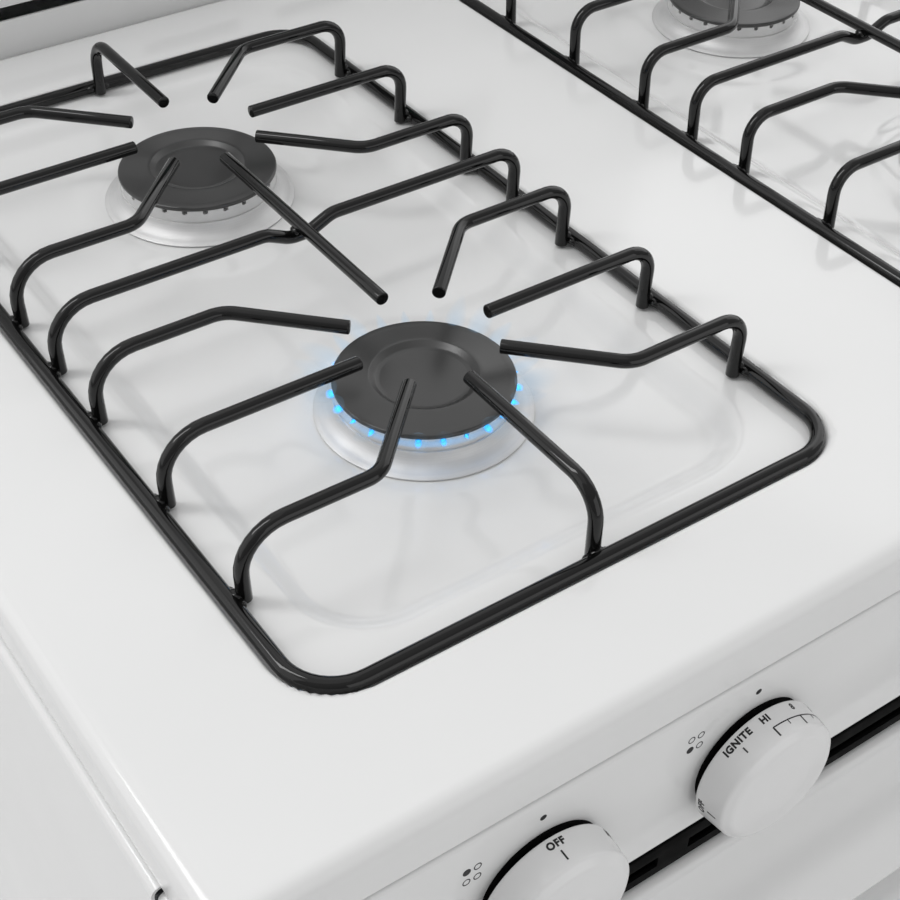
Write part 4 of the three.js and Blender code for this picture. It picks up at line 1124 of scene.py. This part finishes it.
def on_clock(part):
    """Puts a flat drawing on the clock's leaning face."""
    face = np.array((0, -math.cos(math.radians(CLOCK_LEAN)), math.sin(math.radians(CLOCK_LEAN))))
    return moved(part, CLOCK_CENTRE + face * 1.55, rotation(90 - CLOCK_LEAN, "X"))


g = Graph("display_green")
M["display_green"] = g.finish(color=(0.01, 0.05, 0.04), roughness=0.4, emission_color=(0.10, 0.85, 0.55),
                              emission_strength=g.ramp(g.noise(300, 2), 0.3, 0.7, 0.9, 1.3))
figures = digit("1", -18) + digit("2", -7) + digit("0", 7) + digit("0", 18)
figures += [bar(0.3, 3, 1.5, 1.5), bar(-0.3, -3, 1.5, 1.5)]
mesh_piece("clock_figures", *on_clock(merged(*figures)), "display_green")
keys = []
for sx in (-1, 1):
    for column, width in ((55, 16), (79, 16), (103, 16)):
        for y in (-14, 8):
            x = sx * column
            keys += [bar(x, y + 5, width, 0.5), bar(x, y - 5, width, 0.5), bar(x - width / 2, y, 0.5, 10.5),
                     bar(x + width / 2, y, 0.5, 10.5)]
    up = 1 if sx > 0 else -1
    arrow = [(sx * 30 + dx, 24 + dy * up, z) for z in (0, 0.05) for dx, dy in ((-3, -2), (3, -2), (0, 3))]
    keys.append((arrow, [(2, 1, 0), (3, 4, 5), (0, 1, 4, 3), (1, 2, 5, 4), (2, 0, 3, 5)]))
for x, y, width, height in ((0, 15, 66, 0.6), (0, -15, 66, 0.6), (-33, 0, 0.6, 30.6), (33, 0, 0.6, 30.6)):
    keys.append(bar(x, y, width, height))
mesh_piece("clock_keys", *on_clock(merged(*keys)), "print_grey")

# ------------------------------------------------------------------ sheet-metal screws


def make_screw(size=1.0):
    """Hexagon washer head standing up along +Z."""
    rows = [(0, 0), (4.4, 0), (4.4, 0.35), (3.2, 0.6), (3.1, 0.7), (3.1, 1.9), (2.7, 2.2), (1.9, 2.2),
            (1.7, 1.8), (0, 1.8)]

    def hexagon(index, angle, r):
        if not 4 <= index <= 6:
            return r
        around = (angle % (math.pi / 3)) - math.pi / 6
        return r * math.cos(math.pi / 6) / math.cos(around)

    verts, faces = lathe(rows, 48, hexagon)
    return np.array(verts) * size, faces


def screws(name, places, outward, body="root", size=1.0):
    heads = [moved(make_screw(size), place, outward) for place in places]
    mesh_piece(name, *merged(*heads), "screw_steel", body=body, sharp=30)


BACKWARD = rotation(-90, "X")
rear = node_box("rear_panel")[1][1]
edge = [(x, rear, z) for x in (-366, 366) for z in (90, 290, 490, 690, 876)]
edge += [(x, rear, 80) for x in (-240, -80, 80, 240)]
screws("rear_panel_screws", edge, BACKWARD)
rear = node_box("backguard_cover")[1][1] - 0.2
edge = [(x, rear, z) for x in (-366, 366) for z in (910, 1040, 1168)]
edge += [(x, rear, z) for x in (-180, 0, 180) for z in (906, 1168)]
screws("backguard_cover_screws", edge, BACKWARD)
rear = node_box("door_liner")[1][1]
edge = [(x, rear, z) for x in (-339, 339) for z in (268, 420, 600, 752)]
screws("door_liner_screws", edge, BACKWARD, "oven_door", 0.6)

# ------------------------------------------------------------------ materials of the CAD nodes that stay


def paint(node, material):
    materials = frame["nodes"][node].data.materials
    materials.clear()
    materials.append(M[material])


for entry in frame["record"]["subparts"]:
    if entry["material_slot"] in M:
        paint(entry["node"], entry["material_slot"])
INNER_WINDOW = (210, 408, 662)       # half width, low edge and high edge of its clear part
M["clear_glass"] = window_glass("clear_glass", *INNER_WINDOW, (0.75, 0.8, 0.8))
paint("door_inner_glass", "clear_glass")

# ------------------------------------------------------------------ flames of the lit burner
# Each port of the lit burner has a bright core and a faint veil that fades away from the burner's axis.


def flame(name, color, strength, near, far, alpha):
    g = Graph(name)
    middle = g.math("SUBTRACT", 1.0, g.node("LayerWeight", {"Blend": 0.5}).outputs["Facing"])
    soft = g.math("MULTIPLY", g.math("MULTIPLY", middle, middle),
                  g.ramp(g.radius(), near * MM, far * MM, alpha, 0.0))
    return g.finish(color=(0, 0, 0), specular=0.0, roughness=1.0, emission_color=color,
                    emission_strength=strength, alpha=soft)


M["flame_core"] = flame("flame_core", (0.02, 0.36, 1.0), 3.0, HEAD_R + 0.2, HEAD_R + 3.6, 0.9)
M["flame_ring"] = flame("flame_ring", (0.16, 0.52, 1.0), 1.6, HEAD_R, HEAD_R + 2.4, 0.24)
M["flame_veil"] = flame("flame_veil", (0.35, 0.68, 1.0), 1.0, HEAD_R + 1.0, HEAD_R + 19.0, 0.14)


def tilted_flames(width, length, lean):
    drop = lathe([(0, 0), (width * 0.7, length * 0.08), (width, length * 0.3), (width * 0.8, length * 0.6),
                  (width * 0.35, length * 0.87), (0, length)], 14)
    random.seed(7)
    parts = []
    for port in range(PORTS):
        leaning = moved((np.array(drop[0]) * random.uniform(0.45, 1.45), drop[1]),
                        turn=rotation(lean + random.uniform(-6, 6), "Y"))
        outward = moved(leaning, (HEAD_R - 0.8, 0, CAP_LOW[2] + 3.1))
        parts.append(moved(outward, turn=rotation(360 * (port + 0.5) / PORTS, "Z")))
    return merged(*parts)


lit = (*BURNERS[LIT_BURNER], 0)
mesh_piece("flame_cores", *tilted_flames(1.45, 5.2, 98), "flame_core", body=None, at=lit)
glow = lathe([(HEAD_R + 0.1 + 1.1 * (1 - math.cos(a)), CAP_LOW[2] + 2.6 + 1.7 * math.sin(a))
              for a in (i * math.pi / 5 for i in range(10))], 96)
mesh_piece("flame_glow", *glow, "flame_ring", body=None, at=lit)
mesh_piece("flame_veils", *tilted_flames(5.0, 20.0, 66), "flame_veil", body=None, at=lit)

# ------------------------------------------------------------------ stage
floor_verts = [(x, y, 0) for x, y in ((-6000, -6000), (6000, -6000), (6000, 6000), (-6000, 6000))]
g = Graph("floor_paint")
M["floor"] = g.finish(color=g.ramp(g.noise(2, 3), 0.4, 0.6, (0.81, 0.81, 0.81), (0.83, 0.83, 0.83)),
                      roughness=0.8)
mesh_piece("floor", floor_verts, [(0, 1, 2, 3)], "floor", body=None)

world = bpy.data.worlds.new("studio")
world.use_nodes = True
sky = world.node_tree
# brighter overhead and behind than in front and near the floor
slope = sky.nodes.new("ShaderNodeVectorMath")
slope.operation = "DOT_PRODUCT"
slope.inputs[1].default_value = (0, 0.7, 1.0)
fade = sky.nodes.new("ShaderNodeMapRange")
sky.links.new(sky.nodes.new("ShaderNodeTexCoord").outputs["Generated"], slope.inputs[0])
sky.links.new(slope.outputs["Value"], fade.inputs["Value"])
sky.links.new(fade.outputs["Result"], sky.nodes["Background"].inputs["Strength"])
for socket, value in (("From Min", -0.4), ("From Max", 0.9), ("To Min", 0.36), ("To Max", 0.58)):
    fade.inputs[socket].default_value = value
sky.nodes["Background"].inputs["Color"].default_value = (1, 1, 1, 1)
bpy.context.scene.world = world


def area_light(name, place, aim, size, power):
    data = bpy.data.lights.new(name, "AREA")
    data.shape = "RECTANGLE"
    data.size, data.size_y = size
    data.energy = power
    light = linked(name, data)
    light.location = place
    light.rotation_euler = (Vector(aim) - Vector(place)).to_track_quat("-Z", "Y").to_euler()


area_light("rear_softbox", (1.25, 1.85, 2.95), (-0.1, -0.05, 0.91), (3.6, 2.8), 10)
area_light("overhead", (-0.5, 0.2, 3.0), (0, 0, 0.8), (2.4, 1.8), 4)
area_light("left_strip", (-1.05, 0.5, 2.3), (-0.15, 0, 0.92), (0.35, 1.2), 8)
area_light("left_window", (-2.4, 0.9, 2.0), (-0.1, 0, 0.9), (2.8, 2.8), 16)
area_light("right_window", (2.4, 0.6, 2.0), (0.1, 0, 0.9), (2.8, 2.2), 15)
area_light("front_fill", (0.6, -3.0, 1.4), (0, 0, 0.6), (3.2, 2.2), 20)

# The camera stands over the front left corner and looks down across the left-hand burners.
CAMERA_PLACE = Vector((-0.4723, -0.5382, 1.3332))
CAMERA_YAW, CAMERA_PITCH, CAMERA_ROLL = (math.radians(a) for a in (35.669, 41.024, 1.398))
ahead = Vector((math.sin(CAMERA_YAW) * math.cos(CAMERA_PITCH), math.cos(CAMERA_YAW) * math.cos(CAMERA_PITCH),
                -math.sin(CAMERA_PITCH)))
level = Vector((math.cos(CAMERA_YAW), -math.sin(CAMERA_YAW), 0))
upright = level.cross(ahead)
right = level * math.cos(CAMERA_ROLL) + upright * math.sin(CAMERA_ROLL)
up = upright * math.cos(CAMERA_ROLL) - level * math.sin(CAMERA_ROLL)
camera = linked("camera", bpy.data.cameras.new("camera"))
camera.matrix_world = Matrix((right, up, -ahead)).transposed().to_4x4()
camera.location = CAMERA_PLACE
camera.data.lens = 63.34
camera.data.sensor_width = 36
bpy.context.scene.camera = camera
bpy.context.scene.view_settings.view_transform = "Standard"

bpy.context.view_layer.update()
